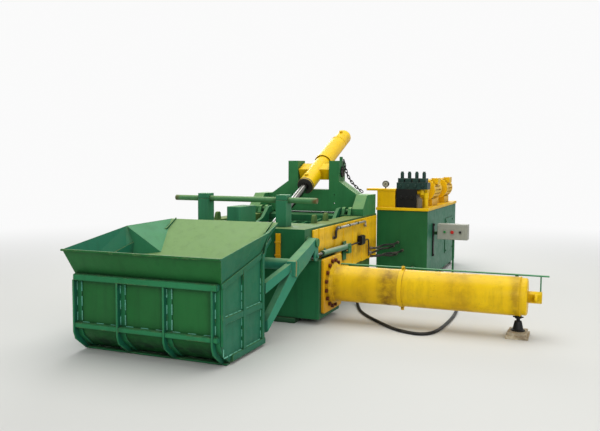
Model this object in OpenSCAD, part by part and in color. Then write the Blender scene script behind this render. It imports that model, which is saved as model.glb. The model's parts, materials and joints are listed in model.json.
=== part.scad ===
// Hydraulic recycling baler with a tipping loading bucket.
// Units are millimetres. X points along the main cylinder, Y points away from
// the bucket along the charging box, Z points up from the floor.
// X = 0 is the centre plane of the charging box. Y = 0 is the front face of
// the press chamber.

/* [Press body] */
// Distance from the centre plane to the outer face of a side wall
wall_half_w = 735; // [720:5:780]
// Thickness of a side wall from its liner to its skin
wall_t = 200; // [170:5:230]
// Distance from the chamber front to the rear plate
body_len = 2250; // [2230:10:2400]
// Height of the wall tops above the floor
body_top = 915; // [905:5:930]
// Height of the charging box floor above the ground
floor_z = 210; // [180:5:230]
// Thickness of the liner plates
liner_t = 30; // [20:1:40]
// Height of the ledge where the lower wall steps in
ledge_z = 400; // [370:5:430]
// How far the lower wall steps in under the ledge
ledge_in = 80; // [50:5:110]
// Width of one raised rib pressed in the wall skin
skin_rib_w = 150; // [100:5:180]
// How far the skin stands out from the wall
skin_proud = 8; // [5:1:12]
// How far a raised rib stands out from the skin
skin_rib_h = 12; // [8:1:14]

/* [Press chamber] */
// Square width and height of the pressing tunnel
tunnel = 300; // [280:5:300]
// Thickness of the chamber's front wall
chamber_front_t = 160; // [140:5:170]
// Underside height of the header beam
header_z = 610; // [590:5:620]
// How far the header beam reaches in front of the chamber
header_over = 160; // [120:5:170]
// Plate thickness of the header beam
header_t = 30; // [20:1:40]

/* [Main cylinder] */
// Outside diameter of the main cylinder barrel
main_od = 345; // [320:5:360]
// Bore of the main cylinder
main_bore = 280; // [250:5:290]
// Length of the main barrel behind its flange
main_len = 1810; // [1750:10:1850]
// Diameter of the main ram rod
main_rod_d = 180; // [150:5:200]
// Width of the square mounting flange
flange_w = 520; // [480:5:530]
// Thickness of the mounting flange
flange_t = 30; // [20:1:40]
// Head diameter of a flange bolt
bolt_head_d = 36; // [30:1:42]
// Stroke of the main platen
main_stroke = 880; // [700:10:900]

/* [Charging ram] */
// Outside diameter of the charging cylinder barrel
ram_od = 220; // [200:5:240]
// Bore of the charging cylinder
ram_bore = 180; // [160:5:190]
// Diameter of the charging rod
ram_rod_d = 110; // [90:5:130]
// Stroke of the charging ram
ram_stroke = 960; // [700:10:970]

/* [Lid] */
// Height of the closed lid's underside
lid_z = 520; // [515:1:530]
// Thickness of the lid's pressing plate
lid_plate_t = 32; // [20:1:40]
// Thickness of each lid rib
lid_rib_t = 30; // [20:1:40]
// Outside diameter of the lid cylinder barrel
lid_od = 200; // [180:5:205]
// Diameter of the lid cylinder rod
lid_rod_d = 90; // [70:5:100]
// Diameter of the lid hinge pins
hinge_pin_d = 50; // [40:1:60]
// Diameter of the trunnion pins
trunnion_d = 80; // [60:2:90]

/* [Bucket] */
// Half width of the bucket's straight sides
bucket_half_w = 670; // [640:5:680]
// Plate thickness of the bucket
bucket_t = 8; // [6:1:12]
// Depth of the bucket ribs
bucket_rib_d = 50; // [40:1:60]
// Width of the bucket ribs
bucket_rib_w = 60; // [40:1:80]
// Thickness of one bucket arm
arm_t = 80; // [78:1:84]
// Depth of the upper part of a bucket arm
arm_d = 120; // [100:5:130]
// Diameter of the tube between the arms
cross_tube_d = 100; // [80:2:120]
// Diameter of the arm pivot pins
pivot_d = 60; // [40:1:64]

/* [Tilt cylinders] */
// Outside diameter of a tilt cylinder
tilt_od = 58; // [50:1:60]
// Diameter of a tilt cylinder rod
tilt_rod_d = 34; // [26:1:38]

/* [Stop frame and tower] */
// Diameter of the cross bar between the posts
bar_d = 55; // [40:1:70]
// Height of the cross bar centre
bar_z = 1168; // [1120:2:1180]
// Height of the tower uprights
tower_top = 1560; // [1520:5:1580]
// Plate thickness of the tower
tower_t = 30; // [20:1:40]

/* [Power pack] */
// Length of the oil tank
tank_len = 2150; // [1900:10:2300]
// Width of the oil tank
tank_w = 662; // [600:2:700]
// Height of the tank top above the floor
tank_top = 930; // [880:5:960]
// Outside diameter of the floor hose
hose_d = 30; // [20:1:36]

/* [Hidden] */
$fn = 48;
e = 0.01;
wall_in = wall_half_w - wall_t;
low_half_w = wall_half_w - ledge_in;
tun_y0 = chamber_front_t;
tun_y1 = chamber_front_t + tunnel;
tun_z1 = floor_z + tunnel;
axis_y = (tun_y0 + tun_y1) / 2;
axis_z = (floor_z + tun_z1) / 2;
seat_x = 820;
flange_x1 = seat_x + flange_t;
main_x1 = flange_x1 + main_len;
jack_x = main_x1 - 75;
tank_x1 = 633 + tank_w;
bolt_r = main_od / 2 + 50;
lid_hinge = [1710, 965];
lid_pin = [620.1, 771.56];
trunnion = [2090, 1426];
lid_tilt = 24;
lid_half_w = wall_in - 10;
arm_x0 = 745;
slot_c = 790;
slot_w = 46;
door_off = 23;
mount_x = wall_half_w + skin_proud + skin_rib_h;
pivot = [-80, 790];
lever_pin = [-80, 665];
tilt_pivot = [930, 645];
tilt_rest = 1.134;
post_x = 425;
post_w = 110;
tank_x0 = 633;
button_d = 30;
button_x = [for (i = [1 : 3]) tank_x1 + 65 + 100 * i];
tank_y0 = 2650;
gap = 0.3;

// Plain box between two corners.
module block(a, b) translate(a) cube(b - a);
// Cylinders along each axis from a start point.
module rod_x(p, l, d) translate(p) rotate([0, 90, 0]) cylinder(h = l, d = d);
module rod_y(p, l, d) translate(p) rotate([-90, 0, 0]) cylinder(h = l, d = d);
module rod_z(p, l, d) translate(p) cylinder(h = l, d = d);
// Plate cut to a side outline in Y and Z, standing from x0 to x1.
module side_plate(pts, x0, x1) translate([x0, 0, 0]) rotate([90, 0, 90]) linear_extrude(x1 - x0) polygon(pts);
// Plate cut to a front outline in X and Z, standing from y0 to y1.
module front_plate(pts, y0, y1) translate([0, y1, 0]) rotate([90, 0, 0]) linear_extrude(y1 - y0) polygon(pts);
// Copy on both sides of the centre plane.
module both() {
    children();
    mirror([1, 0, 0]) children();
}
// Place a child drawn along +Y from a point, tipped by an angle about X.
module tipped(p, a) translate([0, p[0], p[1]]) rotate([a, 0, 0]) children();
// Bar with a rectangular cross section between two points of a Y Z plane.
module strut(a, b, w, x0, x1) {
    len = norm(b - a);
    ang = atan2(b[1] - a[1], b[0] - a[0]);
    translate([x0, a[0], a[1]]) rotate([ang, 0, 0]) translate([0, 0, -w / 2]) cube([x1 - x0, len, w]);
}
// Four sided flat plate given by its corners and a thickness vector.
module quad_plate(c, n) {
    p = cross(c[1] - c[0], c[2] - c[0]) * n > 0 ? c : [c[3], c[2], c[1], c[0]];
    polyhedron(points = concat(p, [for (q = p) q + n]), faces = [[0, 1, 2], [0, 2, 3], [4, 6, 5], [4, 7, 6], [0, 4, 5], [0, 5, 1],
        [1, 5, 6], [1, 6, 2], [2, 6, 7], [2, 7, 3], [3, 7, 4], [3, 4, 0]]);
}
// Tube swept along a list of points.
module swept_tube(pts, d, sides) {
    n = len(pts);
    dir = [for (i = [0 : n - 1]) let(v = pts[min(i + 1, n - 1)] - pts[max(i - 1, 0)]) v / norm(v)];
    rings = [for (i = [0 : n - 1]) let(u = abs(dir[i][2]) > 0.9 ? cross([1, 0, 0], dir[i]) : cross([0, 0, 1], dir[i]),
        a = u / norm(u), b = cross(dir[i], a))
        for (k = [0 : sides - 1]) pts[i] + (d / 2) * (a * cos(360 * k / sides) + b * sin(360 * k / sides))];
    polyhedron(points = rings, faces = concat(
        [[for (k = [0 : sides - 1]) k]],
        [for (i = [0 : n - 2]) for (k = [0 : sides - 1]) let(k2 = (k + 1) % sides)
            [i * sides + k, (i + 1) * sides + k, (i + 1) * sides + k2]],
        [for (i = [0 : n - 2]) for (k = [0 : sides - 1]) let(k2 = (k + 1) % sides)
            [i * sides + k, (i + 1) * sides + k2, i * sides + k2]],
        [[for (k = [sides - 1 : -1 : 0]) (n - 1) * sides + k]]));
}
// Points of a smooth curve through the route points.
function curve(p, m) = [for (i = [0 : len(p) - 2]) for (j = [0 : m - 1])
    let(t = j / m, a = p[max(i - 1, 0)], b = p[i], c = p[i + 1], d = p[min(i + 2, len(p) - 1)])
    0.5 * (2 * b + (c - a) * t + (2 * a - 5 * b + 4 * c - d) * t * t + (3 * b - a - 3 * c + d) * t * t * t),
    p[len(p) - 1]];
// Round pipe that follows straight legs and turns in short elbow fittings.
module pipe_run(pts, d) {
    for (i = [0 : len(pts) - 2]) {
        v = pts[i + 1] - pts[i];
        translate(pts[i]) rotate([0, acos(v[2] / norm(v)), atan2(v[1], v[0])]) cylinder(h = norm(v), d = d, $fn = 24);
    }
    for (i = [1 : len(pts) - 2]) translate(pts[i]) cylinder(h = d + 8, d = d + 8, center = true, $fn = 24);
}

// Route of the loose hose on the floor, from the body fitting to the tank.
hose_route = [[690, 1200, 230], [725, 1199, 226], [790, 1172, 170], [845, 1090, 80], [910, 950, 22], [1020, 700, 15], [1160, 490, 15],
    [1330, 290, 15], [1500, 110, 15], [1650, 20, 15], [1780, 0, 15], [1870, 90, 15], [1910, 280, 15],
    [1930, 600, 15], [1930, 930, 15], [1900, 1250, 15], [1820, 1600, 15], [1700, 1950, 15],
    [1560, 2250, 15], [1400, 2430, 20], [1250, 2520, 80], [1150, 2565, 160], [1121, 2588, 198], [1120, 2618.5, 200]];
// Routes of the pipes that feed the cylinders from the power pack.
feed_routes = [
    [[860, 2650, 470], [860, 2420, 470], [800, 2330, 470], [800, 1880, 470], [761.4, 1860, 470]],
    [[920, 2650, 520], [920, 2400, 520], [830, 2290, 520], [830, 1940, 520], [761.6, 1900, 520]],
    [[980, 2650, 420], [980, 2380, 420], [860, 2240, 420], [860, 2010, 420], [800, 1940, 420], [755, 1940, 420]],
    [[900, 2650, 370], [900, 2450, 370], [620, body_len + 150, 370], [620, body_len, 370]]];

// Steel feet, skids and stands under the body and the charging cylinder.
module feet() color([0.22, 0.40, 0.33]) {
    block([-580, -20, 0], [580, 140, 50]);
    both() block([380, tun_y1, 0], [wall_in - 5, body_len - 20, floor_z - 30]);
    difference() {
        block([-130, body_len + 740, 0], [130, body_len + 790, axis_z - 6]);
        rod_y([0, body_len + 700, axis_z], 200, ram_od + 2 * gap);
    }
    block([-190, body_len + 690, 0], [190, body_len + 840, 20]);
    for (s = [-1, 1]) side_plate([[body_len + 700, 20], [body_len + 740, 20], [body_len + 740, 180]], s * 60 - 6, s * 60 + 6);
    both() block([600, 300, 0], [640, 420, 50]);
}

// Heavy chamber block with the pressing tunnel through it along X.
module chamber_block() color([0.20, 0.42, 0.34]) difference() {
    union() {
        block([-wall_half_w, 0, 50], [wall_half_w, tun_y1, header_z]);
        block([wall_half_w, 0, 50], [seat_x, 590, header_z]);
        block([-wall_half_w - door_off, 20, 50], [-wall_half_w, 590, header_z]);
    }
    block([-wall_half_w - door_off - 1, tun_y0, floor_z], [seat_x + 1, tun_y1, tun_z1]);
    block([-wall_in, tun_y0, floor_z], [wall_in, tun_y1 + 1, tun_z1]);
}

// Header beam across the front, a deep channel welded from plate.
module front_header() color([0.20, 0.45, 0.36]) {
    difference() {
        block([-wall_half_w, -header_over, header_z], [wall_half_w, tun_y1, body_top]);
        block([-wall_half_w + header_t, -header_over + header_t, header_z - 1],
            [-150, tun_y1 - header_t, body_top - header_t]);
        block([-150 + header_t, -header_over + header_t, header_z - 1],
            [150 - header_t, tun_y1 - header_t, body_top - header_t]);
        block([150, -header_over + header_t, header_z - 1],
            [wall_half_w - header_t, tun_y1 - header_t, body_top - header_t]);
        for (s = [-1, 1]) rod_x([s * wall_half_w - 40, pivot[0], pivot[1]], 80, pivot_d);
    }
}

// Both side walls with the stepped outline and the pockets between stiffeners.
module wall_half() {
    stiff = [460, 635, 930, 1250, 1600, 1840, body_len];
    difference() {
        translate([0, body_len, 0]) rotate([90, 0, 0]) linear_extrude(body_len - tun_y1) polygon([
            [wall_in, floor_z - 30], [low_half_w, floor_z - 30], [low_half_w, ledge_z - 40],
            [wall_half_w, ledge_z], [wall_half_w, body_top], [wall_in, body_top]]);
        for (i = [0 : len(stiff) - 2])
            block([wall_in + liner_t, stiff[i] + liner_t, ledge_z + 25],
                [wall_half_w + 1, stiff[i + 1] - liner_t, body_top - 25]);
    }
    for (y = [550, 890]) side_plate([[y - 52, body_top], [y - 34, 978], [y - 18, 996], [y + 14, 1000],
        [y + 34, 988], [y + 44, body_top]], wall_in + 5, wall_in + 40);
}
module side_walls() color([0.55, 0.52, 0.20]) both() wall_half();

// Yellow skins with raised ribs over the pockets of both walls.
module skin_half() {
    ribs = [20, 180, 330, 635, 930, 1250, 1600, 1840];
    block([wall_half_w, 20, header_z + 2], [wall_half_w + skin_proud, tun_y1, body_top - 20]);
    block([wall_half_w, tun_y1, header_z + 2], [wall_half_w + skin_proud, 592, body_top - 20]);
    block([wall_half_w, 592, ledge_z], [wall_half_w + skin_proud, body_len - 6, body_top - 20]);
    for (y = ribs) {
        z0 = y < 590 ? header_z + 2 : ledge_z;
        w = y == 20 ? 120 : skin_rib_w;
        translate([wall_half_w + skin_proud, y, z0]) linear_extrude(body_top - 20 - z0)
            polygon([[0, 0], [skin_rib_h, 6], [skin_rib_h, w - 6], [0, w]]);
    }
}
module wall_skins() color([0.80, 0.62, 0.08]) both() skin_half();

// Floor plate of the charging box with a liner on top.
module box_floor() color([0.35, 0.33, 0.30]) {
    block([-wall_in, tun_y1, floor_z - 30], [wall_in, body_len - 30, floor_z]);
    both() block([low_half_w - 120, tun_y1, floor_z - 60], [low_half_w, body_len, floor_z - 30]);
}

// Scrap wall over the ram, deck behind it and the rear plate with the ram hole.
module rear_frame() color([0.22, 0.42, 0.34]) difference() {
    union() {
        block([-wall_in, 1640, tun_z1 + 8], [wall_in, 1670, body_top]);
        block([-wall_in, 1670, body_top - 30], [wall_in, body_len - 30, body_top]);
        block([-wall_in, body_len - 30, floor_z - 30], [wall_in, body_len, body_top]);
        for (x = [-300, 0, 300]) side_plate([[1670, 700], [1670, body_top - 30], [1900, body_top - 30]], x - 10, x + 10);
    }
    rod_y([0, body_len - 60, axis_z], 100, ram_od + 2 * gap);
}

// Two posts of the stop frame with a split clamp cap each.
module bar_posts() color([0.20, 0.47, 0.37]) difference() {
    union() {
        both() block([post_x - post_w / 2, 0, body_top], [post_x + post_w / 2, 136, bar_z - 1]);
        both() block([post_x - post_w / 2, 4, bar_z + 1], [post_x + post_w / 2, 132, bar_z + 52]);
        both() side_plate([[136, body_top], [200, body_top], [136, body_top + 90]], post_x - 8, post_x + 8);
    }
    rod_x([-wall_half_w - 60, 68, bar_z], 2 * wall_half_w + 120, bar_d);
}

// Round bar through the posts, clamped at the split.
module cross_bar() color([0.18, 0.42, 0.34]) difference() {
    rod_x([-770, 68, bar_z], 1540, bar_d);
    for (s = [-1, 1]) translate([s * 770, 68, bar_z]) rotate([0, 90, 0]) cylinder(h = 4, d = bar_d / 2.4, center = true);
}

// Stop block in the middle of the header with chamfered front edges.
module centre_block() color([0.20, 0.45, 0.36]) {
    translate([0, 0, body_top]) linear_extrude(1105 - body_top)
        polygon([[-73, -148], [-61, -160], [61, -160], [73, -148], [73, 186], [-73, 186]]);
}

// Narrow conduit strip up the front face with its clips.
module front_conduit() color([0.78, 0.60, 0.10]) {
    block([452, -header_over - 22, header_z + 8], [498, -header_over, body_top - 45]);
    block([452, -22, 265], [498, 0, header_z - 6]);
    for (z = [300, 420, 540]) block([444, -26, z], [506, -22, z + 16]);
    for (z = [660, 780]) block([444, -header_over - 26, z], [506, -header_over - 22, z + 16]);
}

// Tower that carries the lid cylinder, cut from thick plate with box uprights.
module tower() color([0.20, 0.44, 0.36]) difference() {
    union() {
        front_plate([[-wall_half_w, body_top], [-600, body_top], [-600, body_top + 20], [600, body_top + 20],
            [600, body_top], [wall_half_w, body_top], [wall_half_w, 1154], [560, 1154], [335, 1310], [335, tower_top],
            [205, tower_top], [205, 1205], [-205, 1205], [-205, tower_top], [-335, tower_top], [-335, 1310],
            [-560, 1154], [-wall_half_w, 1154]], 1975, 2210);
        both() for (x = [600, wall_half_w - tower_t])
            side_plate([[1678, body_top], [1975, body_top], [1975, 1154], [1847, 1154], [1678, 996]], x, x + tower_t);
        both() {
            side_plate([[1678, 966], [1678, 996], [1847, 1154], [1975, 1154], [1975, 1124], [1860, 1124]], 600, wall_half_w);
        }
        block([305, 2080, tower_top], [335, 2120, tower_top + 50]);
    }
    both() block([235, 1975 + tower_t, 1270], [335 - tower_t, 2211, tower_top + 1 - 30]);
    block([-570, 1975 + tower_t, body_top + 20 + tower_t], [570, 2211, 1110]);
    rod_x([-400, trunnion[0], trunnion[1]], 800, trunnion_d + 2 * gap);
    both() for (z = [1041, 1143]) rod_y([275, 1970, z], 50, 16);
    rod_x([300, 2100, tower_top + 28], 40, 22);
}

// Lid hinge brackets on the wall tops with their pins.
module hinge_brackets() color([0.24, 0.50, 0.38]) both() {
    difference() {
        union() {
            block([480, 1610, body_top], [598, 1810, body_top + 15]);
            for (x = [482, 560]) side_plate([[1630, body_top + 15], [1660, 1000], [1690, 1014], [1730, 1014],
                [1760, 1000], [1800, body_top + 15]], x, x + 36);
        }
        rod_x([470, lid_hinge[0], lid_hinge[1]], 130, hinge_pin_d);
    }
    rod_x([428, lid_hinge[0], lid_hinge[1]], 170, hinge_pin_d);
}

// Dark caps that close the trunnion bearings.
module trunnion_caps() color([0.12, 0.13, 0.13]) both() difference() {
    union() {
        rod_x([335, trunnion[0], trunnion[1]], 14, 132);
        for (a = [0 : 60 : 300]) translate([349, trunnion[0], trunnion[1]]) rotate([a, 0, 0])
            translate([0, 0, 52]) rotate([0, 90, 0]) cylinder(h = 6, d = 14, $fn = 24);
    }
    rod_x([345, trunnion[0], trunnion[1]], 10, 50);
}

// Lifting chain that hangs from the tower lug to the shoulder end.
module chain_link(l, d) translate([0, d / 2, 0]) rotate([90, 0, 0]) linear_extrude(d) difference() {
    polygon(link_outline(l / 2 + d, 7 + d));
    polygon(link_outline(l / 2, 7));
}
function link_outline(a, b) = [for (s = [-1, 1]) for (t = [0 : 30 : 180])
    [s * b * cos(t), s * (a - b + b * sin(t))]];
module chain() color([0.07, 0.07, 0.07]) {
    a = [354, 2100, tower_top + 16];
    b = [600, 2100, 1180];
    n = 12;
    pts = [for (i = [0 : n]) let(t = i / n) a + (b - a) * t + [-48.6 * sin(180 * t), 0, -34 * sin(180 * t)]];
    for (i = [0 : n - 1]) {
        v = pts[i + 1] - pts[i];
        m = (pts[i + 1] + pts[i]) / 2;
        translate(m) rotate([0, acos(v[2] / norm(v)), atan2(v[1], v[0])]) rotate([0, 0, i % 2 == 0 ? 0 : 90])
            chain_link(norm(v) + 0.6, 10);
    }
}

// Square flange plate between the main barrel and the chamber.
module flange_plate() color([0.78, 0.56, 0.07]) difference() {
    translate([seat_x, axis_y, axis_z]) rotate([0, 90, 0]) linear_extrude(flange_t) difference() {
        square([flange_w, flange_w], center = true);
        for (a = [0 : 90 : 270]) rotate([0, 0, a]) translate([flange_w / 2, flange_w / 2]) rotate([0, 0, 45])
            square([24, 24], center = true);
    }
    rod_x([seat_x - 1, axis_y, axis_z], flange_t + 2, main_rod_d + 8);
}

// Socket head bolts in the flange, set on one bolt circle.
module flange_bolt(p) translate(p) rotate([0, 90, 0]) difference() {
    cylinder(h = 24, d = bolt_head_d, $fn = 24);
    translate([0, 0, 10]) cylinder(h = 15, d = 18, $fn = 6);
}
module flange_bolts() color([0.45, 0.20, 0.10])
    for (a = [11.25 : 22.5 : 359]) flange_bolt([flange_x1, axis_y + bolt_r * cos(a), axis_z + bolt_r * sin(a)]);

// Main cylinder barrel with weld collar, end cap, ports and neck.
module main_barrel() color([0.85, 0.66, 0.08]) {
    l = main_len;
    translate([flange_x1, axis_y, axis_z]) rotate([0, 90, 0]) rotate_extrude() polygon([
        [main_rod_d / 2 + 1, 0], [main_od / 2 + 26, 0], [main_od / 2 + 26, 22], [main_od / 2, 50],
        [main_od / 2, l - 60], [main_od / 2 - 8, l - 48], [main_od / 2 - 8, l - 12], [main_od / 2 - 20, l],
        [0, l], [0, l - 60], [main_bore / 2, l - 60], [main_bore / 2, 90], [main_rod_d / 2 + 1, 90]]);
    difference() {
        union() {
            rod_x([main_x1, axis_y, axis_z], 118, 105);
            for (s = [-1, 1]) side_plate([[axis_y + s * 20, axis_z - 40], [axis_y + s * 82, axis_z - 24],
                [axis_y + s * 92, axis_z], [axis_y + s * 82, axis_z + 24], [axis_y + s * 20, axis_z + 40]],
                main_x1 + 60, main_x1 + 84);
        }
        for (s = [-1, 1]) rod_x([main_x1 + 50, axis_y + s * 70, axis_z], 50, 20);
    }
    rod_z([flange_x1 + 130, axis_y, axis_z + main_od / 2 - 14], 50, 60);
    rod_z([main_x1 - 110, axis_y, axis_z + main_od / 2 - 14], 50, 60);
}

// Band clamp round the barrel with its twisted tails.
module band_clamp() color([0.83, 0.64, 0.08]) {
    x = 1545;
    difference() {
        rod_x([x - 20, axis_y, axis_z], 40, main_od + 14);
        rod_x([x - 21, axis_y, axis_z], 42, main_od + 0.2);
    }
    for (s = [-1, 1]) {
        block([x - 14, axis_y - 12, axis_z + s * (main_od / 2 + 18) - 18], [x + 14, axis_y + 12, axis_z + s * (main_od / 2 + 18) + 14]);
        rod_y([x, axis_y - 40, axis_z + s * (main_od / 2 + 22)], 80, 12);
    }
}

// Thin rail behind the barrel top, past the end of the cylinder.
module cylinder_rail() color([0.24, 0.55, 0.44]) {
    z = axis_z + main_od / 2 - 6;
    block([flange_x1 + 40, axis_y + 110, z], [main_x1 + 170, axis_y + 150, z + 10]);
    for (x = [flange_x1 + 120, 1700, main_x1 - 120])
        block([x, axis_y + 112, axis_z + 131.4], [x + 30, axis_y + 120, z]);
    rod_z([main_x1 + 100, axis_y + 130, axis_z - 40], main_od / 2 + 34, 12);
    block([main_x1 + 90, axis_y + 43.3, axis_z - 40], [main_x1 + 112, axis_y + 140, axis_z - 30]);
}

// Screw jack body under the end of the main cylinder.
module screw_jack() color([0.10, 0.11, 0.11]) difference() {
    translate([jack_x, axis_y, 54]) rotate_extrude() polygon([[0, 0], [62, 0], [62, 8], [46, 16], [34, 70], [30, 88], [0, 88]]);
    rod_z([jack_x, axis_y, 70], 90, 32 + 2 * gap);
}
module jack_screw() color([0.32, 0.31, 0.29]) {
    rod_z([jack_x, axis_y, 98], 86, 32);
    difference() {
        rod_z([jack_x, axis_y, 165], 22, 60);
        rod_x([jack_x - 85, axis_y, axis_z], 170, main_od + 0.2);
    }
    rod_x([jack_x - 45, axis_y, 176], 90, 12);
}

// Two layers of timber under the jack.
module wood_blocks() color([0.62, 0.47, 0.30]) {
    block([jack_x - 95, axis_y - 130, 0], [jack_x + 95, axis_y + 130, 27]);
    block([jack_x - 80, axis_y - 110, 27], [jack_x + 80, axis_y + 110, 54]);
}

// Charging cylinder barrel with its caps, ports and mounting ring.
module ram_barrel() color([0.20, 0.44, 0.36]) {
    translate([0, body_len - 50, axis_z]) rotate([-90, 0, 0]) rotate_extrude() polygon([
        [ram_rod_d / 2 + 1, 0], [ram_od / 2, 0], [ram_od / 2, 50], [ram_od / 2 + 40, 50], [ram_od / 2 + 40, 84],
        [ram_od / 2, 84], [ram_od / 2, 1130], [ram_od / 2 - 10, 1150], [0, 1150], [0, 1100],
        [ram_bore / 2, 1100], [ram_bore / 2, 60], [ram_rod_d / 2 + 1, 60]]);
    for (y = [body_len + 110, body_len + 1040]) rod_z([0, y, axis_z + ram_od / 2 - 12], 46, 50);
    for (a = [0 : 45 : 315]) translate([0, body_len + 34, axis_z]) rotate([0, a, 0]) translate([ram_od / 2 + 22, 0, 0])
        rotate([-90, 0, 0]) cylinder(h = 14, d = 22, $fn = 16);
}

// Guides and cylinder of the sliding ejection door on the left.
module door_guides() color([0.22, 0.42, 0.34]) {
    x = -wall_half_w - door_off;
    for (z = [floor_z - 45, tun_z1 + 15]) {
        block([x - 75, 40, z], [x, 870, z + 30]);
        block([x - 75, 40, z < 300 ? z + 30 : z - 12], [x - 64, 870, z < 300 ? z + 42 : z]);
    }
    difference() {
        rod_y([x - 36, 1160, axis_z], 480, 70);
        rod_y([x - 36, 1150, axis_z], 30, 36 + 2 * gap);
        rod_y([x - 36, 1178, axis_z], 440, 56);
    }
    for (y = [1200, 1600]) difference() {
        block([x - 60, y, axis_z - 46], [-low_half_w, y + 40, axis_z - 2]);
        rod_y([x - 36, y - 1, axis_z], 42, 70);
    }
}
module door() color([0.24, 0.44, 0.35]) {
    x = -wall_half_w - door_off;
    block([x - 62, 100, floor_z - 14], [x - 2, 520, tun_z1 + 14]);
    for (y = [170, 310, 450]) block([x - 84, y - 12, floor_z + 40], [x - 62, y + 12, tun_z1 - 40]);
    rod_y([x - 36, 520, axis_z], 680, 36);
    rod_y([x - 36, 1190, axis_z], 30, 56 - 2 * gap);
}

// Black steel box on the right wall skin.
module junction_box() color([0.10, 0.10, 0.10]) {
    x = wall_half_w + skin_proud + skin_rib_h;
    block([x, 1330, 560], [x + 100, 1650, 730]);
    block([x + 100, 1340, 568], [x + 106, 1640, 722]);
}

// Bare steel pipe along the wall top that turns down into a black hose.
module wall_pipe() color([0.50, 0.50, 0.48]) {
    x = wall_half_w + 42;
    pipe_run([[x, 1640, 800], [x, 1640, 863], [x, 640, 863], [x, 600, 840], [x, 600, 768], [wall_half_w + skin_proud, 600, 768]], 22);
    for (y = [700, 1020, 1320]) block([wall_half_w + skin_proud + skin_rib_h, y, 849], [x + 14, y + 26, 877]);
    rod_x([wall_half_w + skin_proud, 600, 768], 14, 36);
    rod_x([low_half_w, 1200, 230], 14, 48);
    rod_x([low_half_w + 14, 1200, 230], 18, 36);
}

// Pipes and hoses from the power pack to the body, each with pale end nuts.
module feed_pipes() color([0.12, 0.12, 0.12]) {
    for (r = feed_routes) pipe_run(r, 26);
    x = wall_half_w + 38;
    pipe_run([[x, 1800, 440], [x, 1800, 640], [x, 1650, 640]], 20);
    pipe_run([[x, 1330, 640], [x, 1030, 640], [x, 1030, 600], [755, 1030, 600]], 20);
}

// Brackets of the tilt cylinders and pivot pins of the bucket arms.
module tilt_mounts() color([0.22, 0.46, 0.37]) both() {
    difference() {
        union() {
            block([mount_x, 880, 500], [mount_x + 6, 990, 700]);
            for (x = [mount_x + 2, 812]) side_plate([[885, 590], [885, 660], [905, 682], [955, 682], [985, 640], [985, 590]], x, x + 10);
            block([mount_x, 885, 575], [822, 985, 590]);
        }
        rod_x([740, tilt_pivot[0], tilt_pivot[1]], 120, 30);
    }
    rod_x([mount_x, tilt_pivot[0], tilt_pivot[1]], 76, 30);
    rod_x([wall_half_w - 30, pivot[0], pivot[1]], 30 + arm_x0 + arm_t - wall_half_w + 8, pivot_d - 2 * gap);
    rod_x([wall_half_w, pivot[0], pivot[1]], arm_x0 - wall_half_w - 1, 110);
    rod_x([arm_x0 + arm_t + 1, pivot[0], pivot[1]], 12, 84);
}

// Bucket shell folded from plate, open at the top and at the rear chute.
module bucket_shell() color([0.20, 0.45, 0.37]) {
    w = bucket_half_w - bucket_rib_d + 30;
    side_plate([[-1600, 637], [-1600, 190], [-1580, 140], [-1470, 36], [-1430, 20], [-850, 20], [-858, 28],
        [-1427, 28], [-1466, 43], [-1573, 145], [-1592, 192], [-1592, 637]], -w, w);
    side_plate([[-858, 28], [-850, 20], [-880, 680], [-360, 981], [-364, 988], [-889, 685]], -w, w);
    both() side_plate([[-1600, 637], [-1600, 190], [-1580, 140], [-1470, 36], [-1430, 20], [-850, 20],
        [-880, 680], [-532, 882], [-532, 914], [-948, 785]], w - bucket_t, w);
    both() side_plate([[-532, 882], [-532, 914], [-366, 1000], [-358, 985]], w - 60, w - 52);
    both() block([w - 60, -540, 876], [w, -532, 914]);
}

// Outer face of the bucket's rear wall at a height.
function rear_y(z) = -850 - (z - 20) * 30 / 660 + 0.05;

// Ribs and rails welded outside the bucket, curved round the chamfer.
module front_rib(x) {
    d = bucket_rib_d;
    side_plate([[-1600, 637], [-1600 - d, 637], [-1600 - d, 170], [-1600 - d + 22, 110], [-1500, -2 + 8],
        [-1450, 2], [-1250, 2], [-1210, 20], [-1430, 20], [-1470, 36], [-1580, 140], [-1600, 190]],
        x - bucket_rib_w / 2, x + bucket_rib_w / 2);
}
module bucket_ribs() color([0.19, 0.43, 0.35]) {
    w = bucket_half_w - bucket_rib_d + 30;
    s = bucket_rib_d - 30;
    for (x = [-w + 26, -210, 210, w - 26]) front_rib(x);
    block([-w + 4, -1600 - bucket_rib_d, 587], [w - 4, -1600, 637]);
    block([-w + 4, -1600 - bucket_rib_d + 8, 205], [w - 4, -1600, 245]);
    both() {
        block([w, -1600, 330], [w + s, -880, 380]);
        block([w, -1440, 24], [w + s, -860, 74]);
        block([w, -1600, 170], [w + s, -1560, 600]);
        block([w, -1265, 74], [w + s, -1215, 700]);
        block([w, -925, 74], [w + s, -882, 780]);
        strut([-1599, 612], [-948, 760], 46, w + 1, w + s - 1.5);
        strut([-958, 757], [-600, 868], 40, w + 1, w + s - 1.5);
    }
    for (x = [-440, -220, 0, 220, 440])
        side_plate([[rear_y(500), 500], [-862, 500], [-430, 920], [-420, 946.2], [rear_y(679.8), 679.8]], x - 8, x + 8);
    side_plate([[rear_y(610) + 4, 610], [-838, 610], [-838, 650], [rear_y(668) + 4, 668]], -w, w);
    for (x = [-400, 400]) block([x - 50, -1380, 4], [x + 50, -900, 20]);
}

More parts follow.
